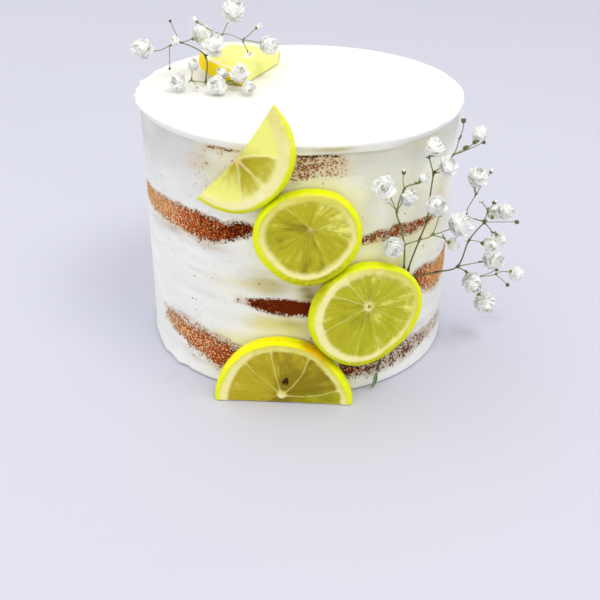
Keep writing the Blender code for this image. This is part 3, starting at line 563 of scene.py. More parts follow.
# Profile of the rim from below: share of the slab's thickness, share of the lip's reach, and way
# outwards from the wall.
RIM_PROFILE = np.array([
    (0.0, 0.0, -2.4), (0.0, 0.0, -1.2), (0.08, 0.0, -0.35), (0.17, 0.1, 0.02), (0.28, 0.3, 0),
    (0.42, 0.55, 0), (0.55, 0.77, 0), (0.66, 0.90, 0), (0.76, 0.98, 0), (0.85, 1.0, -0.03),
    (0.92, 0.95, -0.12), (0.965, 0.86, -0.32), (0.99, 0.72, -0.65), (1.0, 0.55, -1.1),
    (1.0, 0.3, -1.9)])
# The lip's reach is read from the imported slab's own points just under its top.
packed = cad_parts["icing_top"].data.vertices
corners = np.empty(len(packed) * 3)
packed.foreach_get("co", corners)
corners = corners.reshape(-1, 3) / MM
reach = np.hypot(corners[:, 0], corners[:, 1])
at_lip = (corners[:, 2] > 122.5) & (corners[:, 2] < 123.9) & (reach > 70)
lip_angle = np.degrees(np.arctan2(corners[at_lip, 0], -corners[at_lip, 1]))
order = np.argsort(lip_angle)
angles = all_round(RIM_COLUMNS)
lip = np.interp(angles, lip_angle[order], reach[at_lip][order], period=360) - wall_radius(angles)
spots = ring_point(angles, WALL, 0.0)
rough = 0.22 * grain(spots, 5.0, 21) + 0.16 * grain(spots, 2.2, 22)
ragged = 0.75 * grain(spots, 4.2, 23) + 0.45 * grain(spots, 1.9, 26)
lip = np.maximum(lip + rough + ragged * bell(half_turn(angles), -92, 38), 0.15)
base = CAKE_TOP - SLAB
levels = base + SLAB * RIM_PROFILE[:, :1]
radius = wall_radius(angles) + RIM_PROFILE[:, 2:] + RIM_PROFILE[:, 1:2] * lip
edge = ring_point(angles, radius, levels)
radius = radius[-1] * np.linspace(0.985, 0.03, FLAT_ROWS)[:, None]
flat = ring_point(angles, radius, CAKE_TOP)
swirl = 0.16 * grain(flat, 16.0, 24) + 0.05 * grain(flat, 5.0, 25)
flat[..., 2] += (swirl - 0.1) * ease(WALL - radius, 0, 8)
rings = np.concatenate((edge, flat))[None]
smear = bell(half_turn(angles), 9, 7) * bell(levels, 122.0, 1.1) * (1.2 + 0.5 * grain(edge, 6.0, 27))
marks = {"smear": (bordered(np.clip(smear, 0, 1), 0, FLAT_ROWS, 0), 0, 0)}
icing = Finish("smooth_icing")
white = icing.blend(icing.grain(0.012, 3.0), (0.865, 0.868, 0.835), (0.905, 0.905, 0.885))
white = icing.blend(icing.mark("smear"), white, (0.560, 0.500, 0.200))
icing.set(Base_Color=white, Roughness=0.5, Specular_IOR_Level=0.3)
icing.relief(icing.sum("ADD", icing.grain(0.004, 3.0), icing.grain(0.0012, 2.0)), 0.0003, 0.35)
make_piece("top_icing", [(rings, np.array((0, 0, base)), np.array((0, 0, CAKE_TOP - 0.1)), marks)],
           icing.material, "icing", "icing_top")


# Slices of lemon about 6 mm thick, cut across the fruit: waxy zest with pores, a ring of cream
# pith, and lobes of wet flesh between thin skins that meet in a hub. Three are cut in half. Four
# stand against the wall and one lies on the top.
THICK, SLICE_COLUMNS, FACE_ROWS = 6.2, 560, 76
# Radii of each slice, one for every 20 degrees round it from its right, anticlockwise.
UPPER_HALF_RADII = (28.0, 28.1, 28.6, 29.2, 28.6, 28.0, 28.0, 27.9, 28.0,
                    28.3, 28.6, 28.9, 28.5, 28.3, 28.2, 27.4, 26.9, 27.3)
UPPER_WHEEL_RADII = (22.9, 23.3, 23.2, 22.9, 22.1, 21.7, 22.3, 23.0, 23.4,
                     23.4, 22.7, 21.9, 22.0, 22.3, 22.1, 21.4, 21.3, 22.1)
LOWER_WHEEL_RADII = (26.0, 26.5, 26.2, 25.4, 25.6, 26.8, 28.0, 29.0, 29.3,
                     28.6, 27.6, 26.5, 26.1, 25.9, 25.0, 24.1, 24.4, 25.2)
BASE_HALF_RADII = (32.5, 30.9, 30.2, 30.9, 31.4, 31.8, 31.8, 31.3, 31.2,
                   31.9, 31.5, 31.6, 31.5, 31.4, 31.7, 31.8, 31.9, 32.3)
TOP_HALF_RADII = (23.4, 23.4, 23.2, 23.0, 23.2, 23.7, 24.1, 23.9, 23.3,
                  22.7, 22.6, 23.1, 23.7, 24.0, 23.8, 23.4, 23.2, 23.2)


def cubic_between(a, b, c, d, share):
    """Point a share of the way from b to c of four in a row, on the cubic whose slope at b is half
    the way from a to c, and at c half the way from b to d."""
    bend = 2 * a - 5 * b + 4 * c - d + share * (3 * (b - c) + d - a)
    return b + 0.5 * share * (c - a + share * bend)


def rim_radius(radii, turn):
    """Radius of a slice at angles, on smooth cubics between the radii of its list."""
    step = np.degrees(turn) * len(radii) / 360.0
    k = np.floor(step).astype(int)
    return cubic_between(*(np.array(radii)[(k + i) % len(radii)] for i in (-1, 0, 1, 2)), step - k)


def rim_reach(point, turn, radii):
    """Distance from a point inside a slice to its rim, in each direction.

    The rim is sampled finely, seen from the point as directions and distances, and read between
    the samples.
    """
    fine = np.linspace(-math.pi, math.pi, 4000, endpoint=False)
    rim = rim_radius(radii, fine)
    x, y = rim * np.cos(fine) - point[0], rim * np.sin(fine) - point[1]
    seen = np.arctan2(y, x)
    order = np.argsort(seen)
    return np.interp(turn, seen[order], np.hypot(x, y)[order], period=2 * math.pi)


def cut_reach(point, turn, cuts):
    """Distance from a point to the nearest cut in each direction; a cut is a ray in the slice.

    Two lines meet at the cross product of the gap between their starts with one of them, over the
    cross product of the two.
    """
    nearest = np.full(turn.shape, 1e3)
    dx, dy = np.cos(turn), np.sin(turn)
    for x, y, way in cuts:
        ux, uy = math.cos(way), math.sin(way)
        slant = dx * uy - dy * ux
        slant = np.where(np.abs(slant) < 1e-9, 1e-9, slant)
        gx, gy = x - point[0], y - point[1]
        far = (gx * uy - gy * ux) / slant
        along = (gx * dy - gy * dx) / slant
        nearest = np.where((far > 0) & (along >= -0.02) & (far < nearest), far, nearest)
    return nearest


def cells(u, v, seed):
    """Juice sacs on a grid of one sac a square, each set off its middle by a random shift.

    Each point gets the distance to its nearest sac, how much farther the next one is, and a random
    value from -1 to 1 that belongs to the sac.
    """
    iu, iv = np.floor(u).astype(np.int64), np.floor(v).astype(np.int64)
    first, second, value = np.full(u.shape, 9.0), np.full(u.shape, 9.0), np.zeros(u.shape)
    for du, dv in itertools.product((-1, 0, 1), repeat=2):
        key = scrambled((iu + du) * PRIMES[0] + (iv + dv) * PRIMES[1] + seed * SEED_STEP)
        spot_u, spot_v = (key & 1023) / 1023.0, ((key >> 10) & 1023) / 1023.0
        far = np.hypot(iu + du + 0.15 + 0.7 * spot_u - u, iv + dv + 0.15 + 0.7 * spot_v - v)
        nearer = far < first
        second = np.where(nearer, first, np.minimum(second, far))
        value = np.where(nearer, ((key >> 20) & 1023) / 511.5 - 1.0, value)
        first = np.where(nearer, far, first)
    return first, second - first, value


def lemon_finish():
    """Finish of a slice: zest, pith and flesh by the marks on its points, all of it wet, with painted
    shade on parts of the rind.
    """
    made = Finish("cut_lemon")
    flesh, zest = made.mark("flesh"), made.mark("zest")
    ripe = made.mark("ripe")
    beads = made.grain(0.0011, 3.0, 0.6)
    light = made.sum("ADD", made.mark("light"), made.span(beads, 0.3, 0.7, -0.035, 0.035))
    dim = made.blend(ripe, (0.270, 0.235, 0.001), (0.270, 0.200, 0.001))
    mid = made.blend(ripe, (0.500, 0.480, 0.010), (0.530, 0.410, 0.014))
    juice = made.blend(made.span(light, 0.0, 0.5), dim, mid)
    juice = made.blend(made.span(light, 0.5, 1.0), juice, (0.930, 0.940, 0.240))
    juice = made.blend(made.mark("veil"), juice, (0.820, 0.800, 0.240))
    pale = made.sum("ADD", made.mark("cream"), made.span(made.grain(0.004, 3.0), 0.3, 0.7, -0.13, 0.13))
    pith = made.blend(made.span(pale, -0.1, 1.0), (0.720, 0.675, 0.110), (0.920, 0.865, 0.390))
    pith = made.blend(made.span(pale, 1.0, 1.8), pith, (0.980, 0.970, 0.780))
    warm = made.mark("warm")
    skin = made.blend(made.span(warm, 0.0, 0.3), (0.830, 0.930, 0.0), (1.000, 0.940, 0.0))
    skin = made.blend(made.span(warm, 0.3, 1.0), skin, (1.000, 0.600, 0.0))
    skin = made.blend(made.span(made.grain(0.0016, 2.0), 0.35, 0.6, 0.22, 0.0), skin, (0.66, 0.66, 0.0))
    whole = made.blend(flesh, pith, juice)
    whole = made.blend(made.mark("amber"), whole, (1.0, 0.58, 0.02))
    whole = made.blend(zest, whole, skin)
    # Painted shade: the rind turns dark olive where the shade mark says it would lie in shadow, broken
    # into patches.
    patchy = made.span(made.grain(0.0022, 3.0, 0.6), 0.3, 0.7, 0.6, 1.0)
    whole = made.blend(made.sum("MULTIPLY", made.mark("shade"), patchy), whole, (0.330, 0.270, 0.004))
    whole = made.blend(made.mark("pit"), whole, (0.075, 0.022, 0.002))
    wet = made.span(made.sum("SUBTRACT", flesh, made.mark("pit")), 0.0, 1.0, 0.0, 0.12)
    made.set(Base_Color=whole, Roughness=made.span(flesh, 0.0, 1.0, 0.45, 0.25),
             Specular_IOR_Level=0.15, Coat_Weight=wet, Coat_Roughness=0.08, Subsurface_Weight=0.30,
             Subsurface_Scale=0.0025, Subsurface_Radius=(1.0, 0.85, 0.15))
    pores = made.sum("MULTIPLY", made.grain(0.0013, 1.0), zest)
    lumps = made.sum("MULTIPLY", beads, made.span(flesh, 0.0, 1.0, 0.25, 0.38))
    made.relief(made.sum("ADD", pores, lumps), 0.0005, 0.6)
    return made.material


lemon = lemon_finish()


# Rows down the rim, as shares of the thickness, and rows of the back, as shares of its radius.
RIM_LEVELS = np.array([0.0, 0.01, 0.05, 0.12, 0.2, 0.3, 0.4, 0.5, 0.6,
                       0.68, 0.76, 0.83, 0.89, 0.94, 0.975, 0.995])[:, None]
BACK_SHARES = np.array([[0.9], [0.6], [0.25]])
LONGEST_CUT, FAR_OFF = 60, 40.0


def slice_grid(radii, middle, cuts):
    """Grid of a slice, from the middle of its face over the rim to the middle of its back.

    A ray leaves the middle in each direction, and the nearest rays are turned to the two ends of
    each cut. Down the rim a ray falls short of the edge by powers of the way from its level to the
    face and to the back, more where it is rind than at a cut.
    """
    turn = np.linspace(-math.pi, math.pi, SLICE_COLUMNS, endpoint=False)
    for x, y, way in cuts:
        far = np.linspace(0, LONGEST_CUT, 6000)
        px, py = x + far * math.cos(way), y + far * math.sin(way)
        end = (np.hypot(px, py) > rim_radius(radii, np.arctan2(py, px))).argmax()
        for qx, qy in ((px[end], py[end]), (x, y)):
            way_there = math.atan2(qy - middle[1], qx - middle[0])
            turn[np.abs(half_turn(turn - way_there, math.pi)).argmin()] = way_there
    whole = rim_reach(middle, turn, radii)
    edge = np.minimum(whole, cut_reach(middle, turn, cuts))
    over = np.clip((RIM_LEVELS - 0.52) / 0.48, 0, 1)
    under = np.clip((0.12 - RIM_LEVELS) / 0.12, 0, 1)
    rounded = 0.9 * over ** 2 + 0.35 * over ** 12 + 0.5 * under ** 2
    rind = edge - np.where(edge < whole - 0.05, 0.15 * over ** 6 + 0.1 * under ** 2, rounded)
    shares = (1 - np.linspace(0, 1, FACE_ROWS + 2)[1:-1] ** 1.15)[::-1, None]
    radius = np.concatenate((shares * (rind[-1] - 0.06), rind[::-1], BACK_SHARES * rind[0]))
    level = np.concatenate((np.ones(shares.shape), RIM_LEVELS[::-1], np.zeros(BACK_SHARES.shape)))
    return turn, edge, radius, level


def skins(spokes, far, way, full, frayed, soft, faint):
    """Distance to the nearest skin, how strongly a skin shows, and how many skins were passed.

    A skin goes from its direction at the hub to the one at the rim with a power of the share of the
    way, and wavers a little. It shows as a bell shape across it, broader at the hub.
    """
    gap, veil, passed = np.full(far.shape, FAR_OFF), np.zeros(far.shape), np.zeros(far.shape, int)
    for rim_way, hub_way, strength in sorted(spokes):
        here = np.radians(hub_way + (rim_way - hub_way) * np.clip(far / full, 0, 1) ** 0.8)
        here = here + 0.008 * np.sin(far * 0.7 + rim_way)
        off = half_turn(way - here, math.pi)
        beside = np.where(np.abs(off) < 1.5, np.abs(far * np.sin(off)), FAR_OFF)
        gap = np.minimum(gap, beside + faint * (1 - strength))
        broad = 0.22 + 0.16 * strength + 0.12 * frayed + 0.35 * np.exp(-far / 4.0)
        shown = bell(beside, 0, broad * (0.6 + 0.5 * soft))
        veil = np.maximum(veil, strength * (0.85 + 0.5 * frayed) * shown)
        passed += way > here
    return gap, veil, np.where((passed == 0) & (way < -2.6), len(spokes), passed)


def leaning(way, lean):
    """Cosine of the way from the direction of a lean, times its amount; a lean is both of these."""
    return lean[1] * np.cos(way - math.radians(lean[0]))


def lemon_slice(name, node, radii, core, seed, spokes, glows, axes, place, middle=None, cuts=(),
                hub=1.0, hollow=0.0, pith=5.0, pith_lean=(0, 0), zest_deep=1.7, zest_lean=(0, 0),
                pit=None, flare=(0.0, 0.0), soft=0.8, faint=0.5, streaky=0.8, fade=0.24, ripe=0.5,
                warm=0.05, amber=0.0, cream_side=(-100, 0.5), shaded=()):
    """One slice, from its radii, its core, and its spokes: a skin's direction at the rim, its
    direction at the hub and its strength.

    What a point of the face is made of comes from its distances to the rim, to the nearest skin and
    to the hub: flesh is the smooth least of the three, past their own thicknesses. A lobe's glow is
    how light its flesh is. Streaks run out from the core, and sacs lie across them. The flesh, a
    dark pit and the hollow of the hub are sunk into the face.
    """
    middle = np.array(core if middle is None else middle, float)
    turn, edge, radius, level = slice_grid(radii, middle, cuts)
    x, y = middle[0] + radius * np.cos(turn), middle[1] + radius * np.sin(turn)
    z = THICK * level + 0 * x
    dx, dy = x - core[0], y - core[1]
    far, way = np.hypot(dx, dy), np.arctan2(dy, dx)
    full = rim_reach(core, way, radii)
    skin = full - far
    fine, flat = np.stack((x, y, z), -1), np.stack((x, y, 0 * z), -1)

    # Skins, pith, flesh and zest.
    frayed = grain(fine * (1, 1, 0.3), 1.8, seed + 6)
    gap, veil, passed = skins(spokes, far, way, full, frayed, soft, faint)
    deep = pith + leaning(way, pith_lean) + 0.5 * grain(flat, 6.0, seed)
    deep = deep + 0.35 * grain(flat, 2.2, seed + 7)
    web = 0.08 + 0.5 * np.exp(-far / 2.0) + 0.8 * np.exp(-np.maximum(skin - deep, 0) / 1.1)
    near = np.stack((gap - web, skin - deep, far - hub))
    pocket = -0.6 * np.log(np.exp(-near / 0.6).sum(0))
    flesh = ease(pocket, -soft, soft + 0.2)
    zest_here = zest_deep * (1 - 0.35 * np.sin(way)) + leaning(way, zest_lean)
    zest_here = np.maximum(zest_here + 0.25 * grain(flat, 4.0, seed + 10), 0.3)
    zest = 1 - ease(skin + 0.3 * grain(fine, 1.6, seed + 1) - zest_here, -0.5, 0.5)
    cream = cream_side[1] + leaning(way, (cream_side[0], 0.5))
    cream = cream - 0.35 * (1 - ease(skin - zest_here, 0.0, 1.4)) + 0.16 * grain(flat, 3.0, seed + 9)
    # Painted shade on the rind, towards each direction in shaded: where the rim faces down or meets a
    # neighbouring slice and would lie in shadow.
    shade, at_rim = np.zeros(far.shape), 1 - ease(skin - zest_here, -0.4, 0.7)
    for middle_way, wide, strength in shaded:
        spread = bell(half_turn(np.degrees(way) - middle_way), 0, wide)
        shade = np.maximum(shade, strength * spread * at_rim)

    # Lightness of the flesh: its lobe, streaks, sacs and their walls.
    lobe = passed % len(glows)
    glow = np.array(glows)[lobe]
    u = way * 13.0 + lobe * 101.3
    v = skin / 3.9 + 0.35 * grain(np.stack((u, 0 * u, z / 4), -1), 2.3, seed + 2)
    first, next_to, value = cells(u, v + z * 0.1, seed)
    wall = 1 - ease(next_to, 0.03, 0.22)
    polar = np.stack((9 * np.cos(way), 9 * np.sin(way), far / 7.0), -1)
    streak = 0.20 * grain(polar, 1.0, seed + 5) + 0.06 * grain(polar * (3.1, 3.1, 1.8), 1.0, seed + 8)
    light = glow + (0.65 * streak + 0.55 * np.maximum(streak, 0) - 0.03) * streaky
    light = light + 0.05 * value * streaky + 0.08 * wall * (0.4 + glow) * streaky
    light = light + fade * (far / full - 0.5) + 0.10 * grain(flat, 7.0, seed + 3)
    light = light + (0.06 * grain(flat, 2.9, seed + 12) + 0.04 * grain(flat, 1.5, seed + 13)) * streaky
    light = light - 0.14 * bell(far, 0, 4.5)

    # How far the face is sunk.
    face = ease(z, THICK - 1.0, THICK - 0.2)
    sunk = flesh * (0.42 + 0.10 * first - 0.06 * value - 0.22 * veil) * face
    dark = np.zeros(far.shape)
    if pit:
        pit_way, pit_far = math.radians(pit[0]), pit[1]
        ax, ay = dx - pit_far * math.cos(pit_way), dy - pit_far * math.sin(pit_way)
        along = ax * math.cos(pit_way) + ay * math.sin(pit_way)
        beside = ay * math.cos(pit_way) - ax * math.sin(pit_way)
        hole = np.hypot(along / 2.2, beside / (1.30 - 0.25 * np.clip(along, -1.8, 1.8)))
        dark = (1 - ease(hole, 0.7, 1.25)) * face
        light = light - 0.35 * bell(hole, 0, 2.0)
        sunk = sunk + 1.6 * dark
    if hollow:
        hole = far * (1 + 0.25 * np.cos(5 * way))
        flesh = np.maximum(flesh, 1 - ease(hole, hollow * 0.7, hollow * 1.2))
        light = np.where(hole < hollow * 1.2, 0.1, light)
        sunk = sunk + 0.8 * (1 - ease(hole, hollow * 0.5, hollow * 1.2)) * face
    dimples = 0.07 * grain(fine, 1.1, seed + 4) * zest
    swell = flare[1] * bell(half_turn(np.degrees(np.arctan2(y, x)) - flare[0]), 0, 16.0)
    grow = 1 + swell * (level - 0.5) * (radius / edge) ** 2
    x, y, z = x * grow + dimples * np.cos(turn), y * grow + dimples * np.sin(turn), z - sunk

    axes = np.array(axes)
    rings = (np.array(place) + np.stack((x, y, z), -1)[::-1] @ axes)[None]
    start = np.array(place) + np.array((*middle, 0.0)) @ axes
    end = np.array(place) + np.array((*middle, THICK - sunk[0].mean())) @ axes
    marks = {"flesh": flesh, "zest": zest, "light": light, "veil": np.clip(veil, 0, 1), "pit": dark,
             "cream": cream, "shade": shade}
    for key, value in (("ripe", ripe), ("warm", warm), ("amber", amber)):
        marks[key] = (value(x, y) if callable(value) else value) + 0 * x
    marks = {key: (value[::-1][None], value[-1].mean(), value[0].mean())
             for key, value in marks.items()}
    make_piece(name, [(rings, start, end, marks)], lemon, "lemon", node)


def on_wall(angle, height, off_wall, along=0.0):
    """Axes and place of a slice upright against the wall: along the wall, up, and outwards."""
    turn = math.radians(angle)
    side, out = (math.cos(turn), math.sin(turn), 0), (math.sin(turn), -math.cos(turn), 0)
    spot = np.array(out) * (WALL + off_wall) + np.array(side) * along + (0, 0, height)
    return (side, (0, 0, 1), out), spot


# The upper half slice is cut along two rays from its core, which lies off the middle of its rim.
half_way = math.radians(-37)
apex = (5.3 * math.cos(half_way), 5.3 * math.sin(half_way))
lemon_slice("slice_upper_half", "lemon_half_upper", UPPER_HALF_RADII, apex, 3,
            ((-84, -84, 0.30), (-40, -40, 0.50), (4, 30, 0.65)), (0.80, 0.60, 0.52, 0.98),
            *on_wall(-21.1, 121.8, 0.9),
            middle=(apex[0] + 3.0 * math.cos(half_way), apex[1] + 3.0 * math.sin(half_way)),
            cuts=((*apex, half_way + math.radians(94.6)), (*apex, half_way - math.radians(96.8))),
            hub=0.5, pith=5.6, pith_lean=(-60, 0.5), zest_deep=1.0, zest_lean=(-95, 1.0),
            flare=(46, 0.13), soft=1.4, streaky=0.45, fade=0.55, cream_side=(-70, 0.72),
            shaded=((-95, 45, 0.55),),
            amber=lambda x, y: 0.45 * np.exp(-((x - apex[0]) ** 2 + (y - apex[1]) ** 2) / 5.0))
lemon_slice("slice_upper_wheel", "lemon_wheel_upper", UPPER_WHEEL_RADII, (0.8, 5.7), 5,
            ((-158, -150, 0.02), (-104, -108, 0.06), (-70, -64, 0.10), (-20, -26, -0.10),
             (-4, -8, 0.12), (28, 40, 0.08), (81, 84, 0.0), (137, 135, 0.20)),
            (0.34, 0.42, 0.35, 0.50, 0.57, 0.66, 0.54, 0.46), *on_wall(2.2, 84.0, 0.8),
            hub=0.3, pith=5.0, pith_lean=(-95, 1.2), zest_deep=2.2, zest_lean=(-85, 0.9), soft=1.2,
            faint=1.3, streaky=0.95, ripe=0.25, cream_side=(-85, 0.52),
            shaded=((-82, 46, 0.9), (125, 16, 0.4)))
lemon_slice("slice_lower_wheel", "lemon_wheel_lower", LOWER_WHEEL_RADII, (-1.6, 6.2), 8,
            ((-158, -158, 0.26), (-102, -104, 0.12), (-76, -76, 0.16), (-32, -32, 0.10), (-8, -6, 0.20),
             (24, 23, 0.24), (76, 77, 0.18), (105, 101, 0.16), (129, 128, 0.30), (153, 152, 0.32)),
            (0.42, 0.41, 0.43, 0.54, 0.50, 0.55, 0.52, 0.44, 0.52, 0.48), *on_wall(22.4, 43.3, 1.6),
            hub=2.1, hollow=0.9, pith=4.9, pith_lean=(-70, 0.9), zest_deep=1.8, zest_lean=(-30, 1.0),
            soft=0.9, faint=0.8, streaky=1.0, ripe=0.0, cream_side=(-150, 0.65),
            shaded=((-95, 55, 0.7), (150, 24, 0.8)))
lemon_slice("slice_base_half", "lemon_half_base", BASE_HALF_RADII, (-0.5, 2.9), 11,
            ((134, 138, 0.16), (101, 106, 0.42), (63, 34, 0.42), (11, -14, 0.36)),
            (0.24, 0.10, 0.24, 0.36, 0.46), *on_wall(-2.6, 1.4, 0.9, -3.8), middle=(0.4, 5.0),
            cuts=((0.4, -1.4, 0.0), (0.4, -1.4, math.pi)), hub=1.9, pith=5.6, pith_lean=(-110, 1.3),
            zest_deep=2.3, pit=(75, 7.4), soft=0.7, streaky=0.7, cream_side=(-110, 0.75),
            shaded=((42, 11, 0.45),),
            ripe=lambda x, y: 0.9 - 0.9 * ease(x, 2, 8) * (1 - ease(y - 0.2 * x, 1.0, 2.5)),
            warm=lambda x, y: 0.30 * ease(y, 8, 24) + 0.6 * ease(x, 5, 12) * (1 - ease(x, 17, 23)))

# The slice on the top rests on its cut edge, at the end of a chord, and rises gently away from it.
CHORD, TILT = math.radians(67.6), math.radians(9)
side = np.array((math.cos(CHORD), math.sin(CHORD), 0))
away = np.array((-math.sin(CHORD) * math.cos(TILT), math.cos(CHORD) * math.cos(TILT), math.sin(TILT)))
lemon_slice("slice_on_top", "lemon_top", TOP_HALF_RADII, (1.0, 0.5), 14,
            [(way, way, 0.9) for way in (-140, -95, -45, 0, 38, 75, 118, 155)],
            (1.1, 1.1, 1.1, 1.1, 1.0, 1.15, 1.05, 1.1), (side, away, np.cross(side, away)),
            np.array((-20.5, 20.0, 124.5)) + away * 8, middle=(1.0, 4.0),
            cuts=((1.0, -8.0, 0.0), (1.0, -8.0, math.pi)), hub=1.6, pith=4.6, streaky=0.35, warm=0.72,
            cream_side=(90, 1.5),
            amber=lambda x, y: 0.5 * np.exp(-((x + 16) ** 2 + (y - 6) ** 2) / 30.0))


# Sprigs of baby's breath: thin branching green stems with swollen brown joints, round white heads
# of many ruffled petals in a small green cup, and tight green buds with a white tip. They are
# tucked in behind the lower whole slice and round the slice on the top.
#
# A plan has the places of the joints, the stems as runs of joints, and each flower and bud as the
# joint that it grows from, its middle and its diameter.
TALL_SPRIG = {
    "joints": {
        "foot": (37.0, -69.6, 9.5), "bend": (39.2, -68.0, 17), "behind_low": (44.9, -64.2, 28),
        "behind": (49.2, -61.0, 45), "rise_1": (49, -61.8, 59), "rise_2": (53.2, -60.4, 74),
        "rise_3": (55.7, -60.5, 83.5), "rise_4": (55.7, -63, 95), "fork": (56.2, -63.8, 107),
        "left": (53.5, -66.4, 115), "right": (64.9, -57.8, 113.2), "high": (67.2, -55.9, 120),
    },
    "stems": (("foot", "bend", "behind_low", "behind", "rise_1", "rise_2", "rise_3", "rise_4", "fork"),
              ("fork", "left"), ("fork", "right", "high")),
    "flowers": (("left", (55.3, -65.9, 119.5), 8.3), ("fork", (61.9, -65.5, 111.2), 7.9),
                ("rise_4", (58.1, -67.1, 93.9), 9.1), ("right", (76.8, -49.1, 119.3), 6.9)),
    "buds": (("high", (68.2, -55.0, 127.8), 2.5), ("right", (71.0, -52.7, 114.5), 2.7),
             ("right", (74.9, -51.0, 116.6), 2.2), ("right", (79.6, -47.6, 115.4), 2.2)),
}
INNER_SPRIG = {
    "joints": {
        "foot": (47.6, -62.3, 50), "rise_1": (46.8, -63.7, 61.4), "rise_2": (45.8, -66.0, 74),
        "rise_3": (42.8, -68.8, 85.6), "rise_4": (40.9, -71.1, 92.5), "twig": (43.5, -70.7, 102.8),
        "twig_side": (49.1, -69.8, 105.2), "arm_1": (52.3, -66.8, 77), "arm_2": (57.8, -65.4, 78.8),
        "arm_high": (60.4, -64.8, 88.4), "arm_low": (63.8, -60.6, 75),
    },
    "stems": (("foot", "rise_1", "rise_2", "rise_3", "rise_4", "twig", "twig_side"),
              ("rise_2", "arm_1", "arm_2", "arm_high"), ("arm_2", "arm_low")),
    "flowers": (("rise_4", (45.3, -70.9, 99.1), 7.6), ("rise_4", (34.4, -76.6, 106.1), 9.1),
                ("rise_2", (40.6, -73.0, 76.4), 8.7), ("arm_2", (70.7, -59.0, 81.0), 10.7),
                ("arm_low", (69.4, -55.4, 69.2), 5.9), ("twig_side", (51.5, -69.4, 107.3), 4.2)),
    "buds": (("rise_4", (35.9, -75.4, 99), 2.3), ("twig", (42.5, -72.5, 111.1), 2.2)),
}
OUTER_SPRIG = {
    "joints": {
        "foot": (52.0, -57.8, 44), "rise": (52.8, -57.9, 53.1), "arm_1": (63.8, -50.6, 52.2),
        "arm_2": (74.8, -44.2, 52), "arm_3": (79.3, -41.6, 64.5), "crown": (86.4, -37.5, 72.1),
        "crown_left": (75.4, -48.8, 81.3), "crown_high": (79.2, -44.5, 88.9),
        "crown_up": (86.6, -40.1, 79.3), "crown_low": (92.5, -31.6, 63.6), "mid": (88.2, -33.0, 48.5),
        "low": (79.8, -38.4, 46.3), "low_2": (89.2, -30.2, 31.9), "far": (88.8, -30.6, 39.2),
        "far_2": (97.8, -26.1, 37.8),
    },
    "stems": (("foot", "rise", "arm_1", "arm_2", "arm_3", "crown"),
              ("crown", "crown_left", "crown_high"), ("crown", "crown_up"), ("crown", "crown_low"),
              ("arm_2", "mid"), ("arm_2", "low", "far", "far_2"), ("low", "low_2")),
    "flowers": (("crown_high", (79.4, -44.3, 97.6), 9.0), ("crown_up", (97.0, -31.6, 75.2), 8.4),
                ("crown_up", (93.6, -24.4, 71.2), 7.4), ("crown_low", (97.6, -25.0, 57.4), 6.0),
                ("crown_low", (90.4, -38.9, 61.0), 8.1), ("mid", (93.8, -33.4, 50.2), 10.2),
                ("low", (83.2, -41.2, 41.6), 10.2), ("low_2", (93.3, -28.1, 23.5), 11.2),
                ("far_2", (111.1, -13.6, 31.6), 7.7)),
    "buds": (("crown_high", (78.0, -43.6, 93.3), 2.0), ("crown_high", (86.0, -40.7, 99.1), 2.3),
             ("crown_up", (89.7, -38.4, 82.8), 2.3), ("crown_up", (81.9, -44.7, 86.2), 2.5),
             ("crown", (105.8, -21.6, 64.8), 2.5), ("arm_3", (77.7, -43.3, 65.4), 2.0),
             ("arm_3", (86.5, -39.0, 61.8), 2.2), ("far_2", (107.4, -15.8, 26.1), 2.6),
             ("low_2", (88.9, -34.0, 30.2), 2.3), ("far", (96.8, -32.0, 43.7), 1.9)),
}
TOP_SPRIG = {
    "joints": {
        "foot": (-46.2, 1.5, 125.6), "upright": (-46.2, 4.0, 137.6), "left": (-58.6, 12, 141.6),
        "left_end": (-64.5, 15, 139.2), "right": (-38.1, 9, 146.4), "right_end": (-28.6, 11, 143.4),
        "low": (-52.4, -1.0, 127.0),
    },
    "stems": (("foot", "upright", "left", "left_end"), ("upright", "right", "right_end"),
              ("foot", "low")),
    "flowers": (("left_end", (-77.7, 15, 137.6), 10.0), ("left", (-61.0, 10, 143.0), 4.4),
                ("left", (-49.6, 18, 144.2), 9.6), ("upright", (-42.0, 2, 143.6), 10.5),
                ("right", (-33.1, 14, 156.2), 10.2), ("right_end", (-16.4, 12, 140.6), 9.0),
                ("low", (-52.2, 4.5, 133.0), 5.3), ("low", (-58.0, -8.6, 128.9), 8.8)),
    "buds": (("right", (-51.4, 14, 152.0), 3.2), ("right_end", (-21.3, 15, 149.0), 3.2),
             ("right_end", (-25.5, 7, 138.2), 2.8), ("left", (-63.2, 13, 151.6), 1.6),
             ("low", (-49.4, -7.4, 126.4), 3.0), ("left_end", (-66.0, 21, 126.2), 1.6)),
}
FRONT_SPRIG = {
    "joints": {"foot": (-38.6, 0.6, 126.2), "mid": (-34.2, -3.2, 127.7), "tip": (-27.7, -7.4, 126.6)},
    "stems": (("foot", "mid", "tip"),),
    "flowers": (("mid", (-37.8, -3.6, 131.5), 5.6), ("mid", (-39.6, -12.2, 128.3), 8.6),
                ("mid", (-29.4, -6.0, 132.3), 8.2), ("tip", (-24.8, -12.6, 127.7), 6.2)),
    "buds": (),
}


def unit(vectors):
    """Vectors shortened to a length of one."""
    return vectors / np.linalg.norm(vectors, axis=-1, keepdims=True)


def square_to(axes, slant=(0.13, 0.21, 0.87)):
    """Two directions square to each axis and to each other: the cross product of the axis with a
    slanting direction, and of the axis with that."""
    first = unit(np.cross(axes, slant))
    return first, np.cross(axes, first)


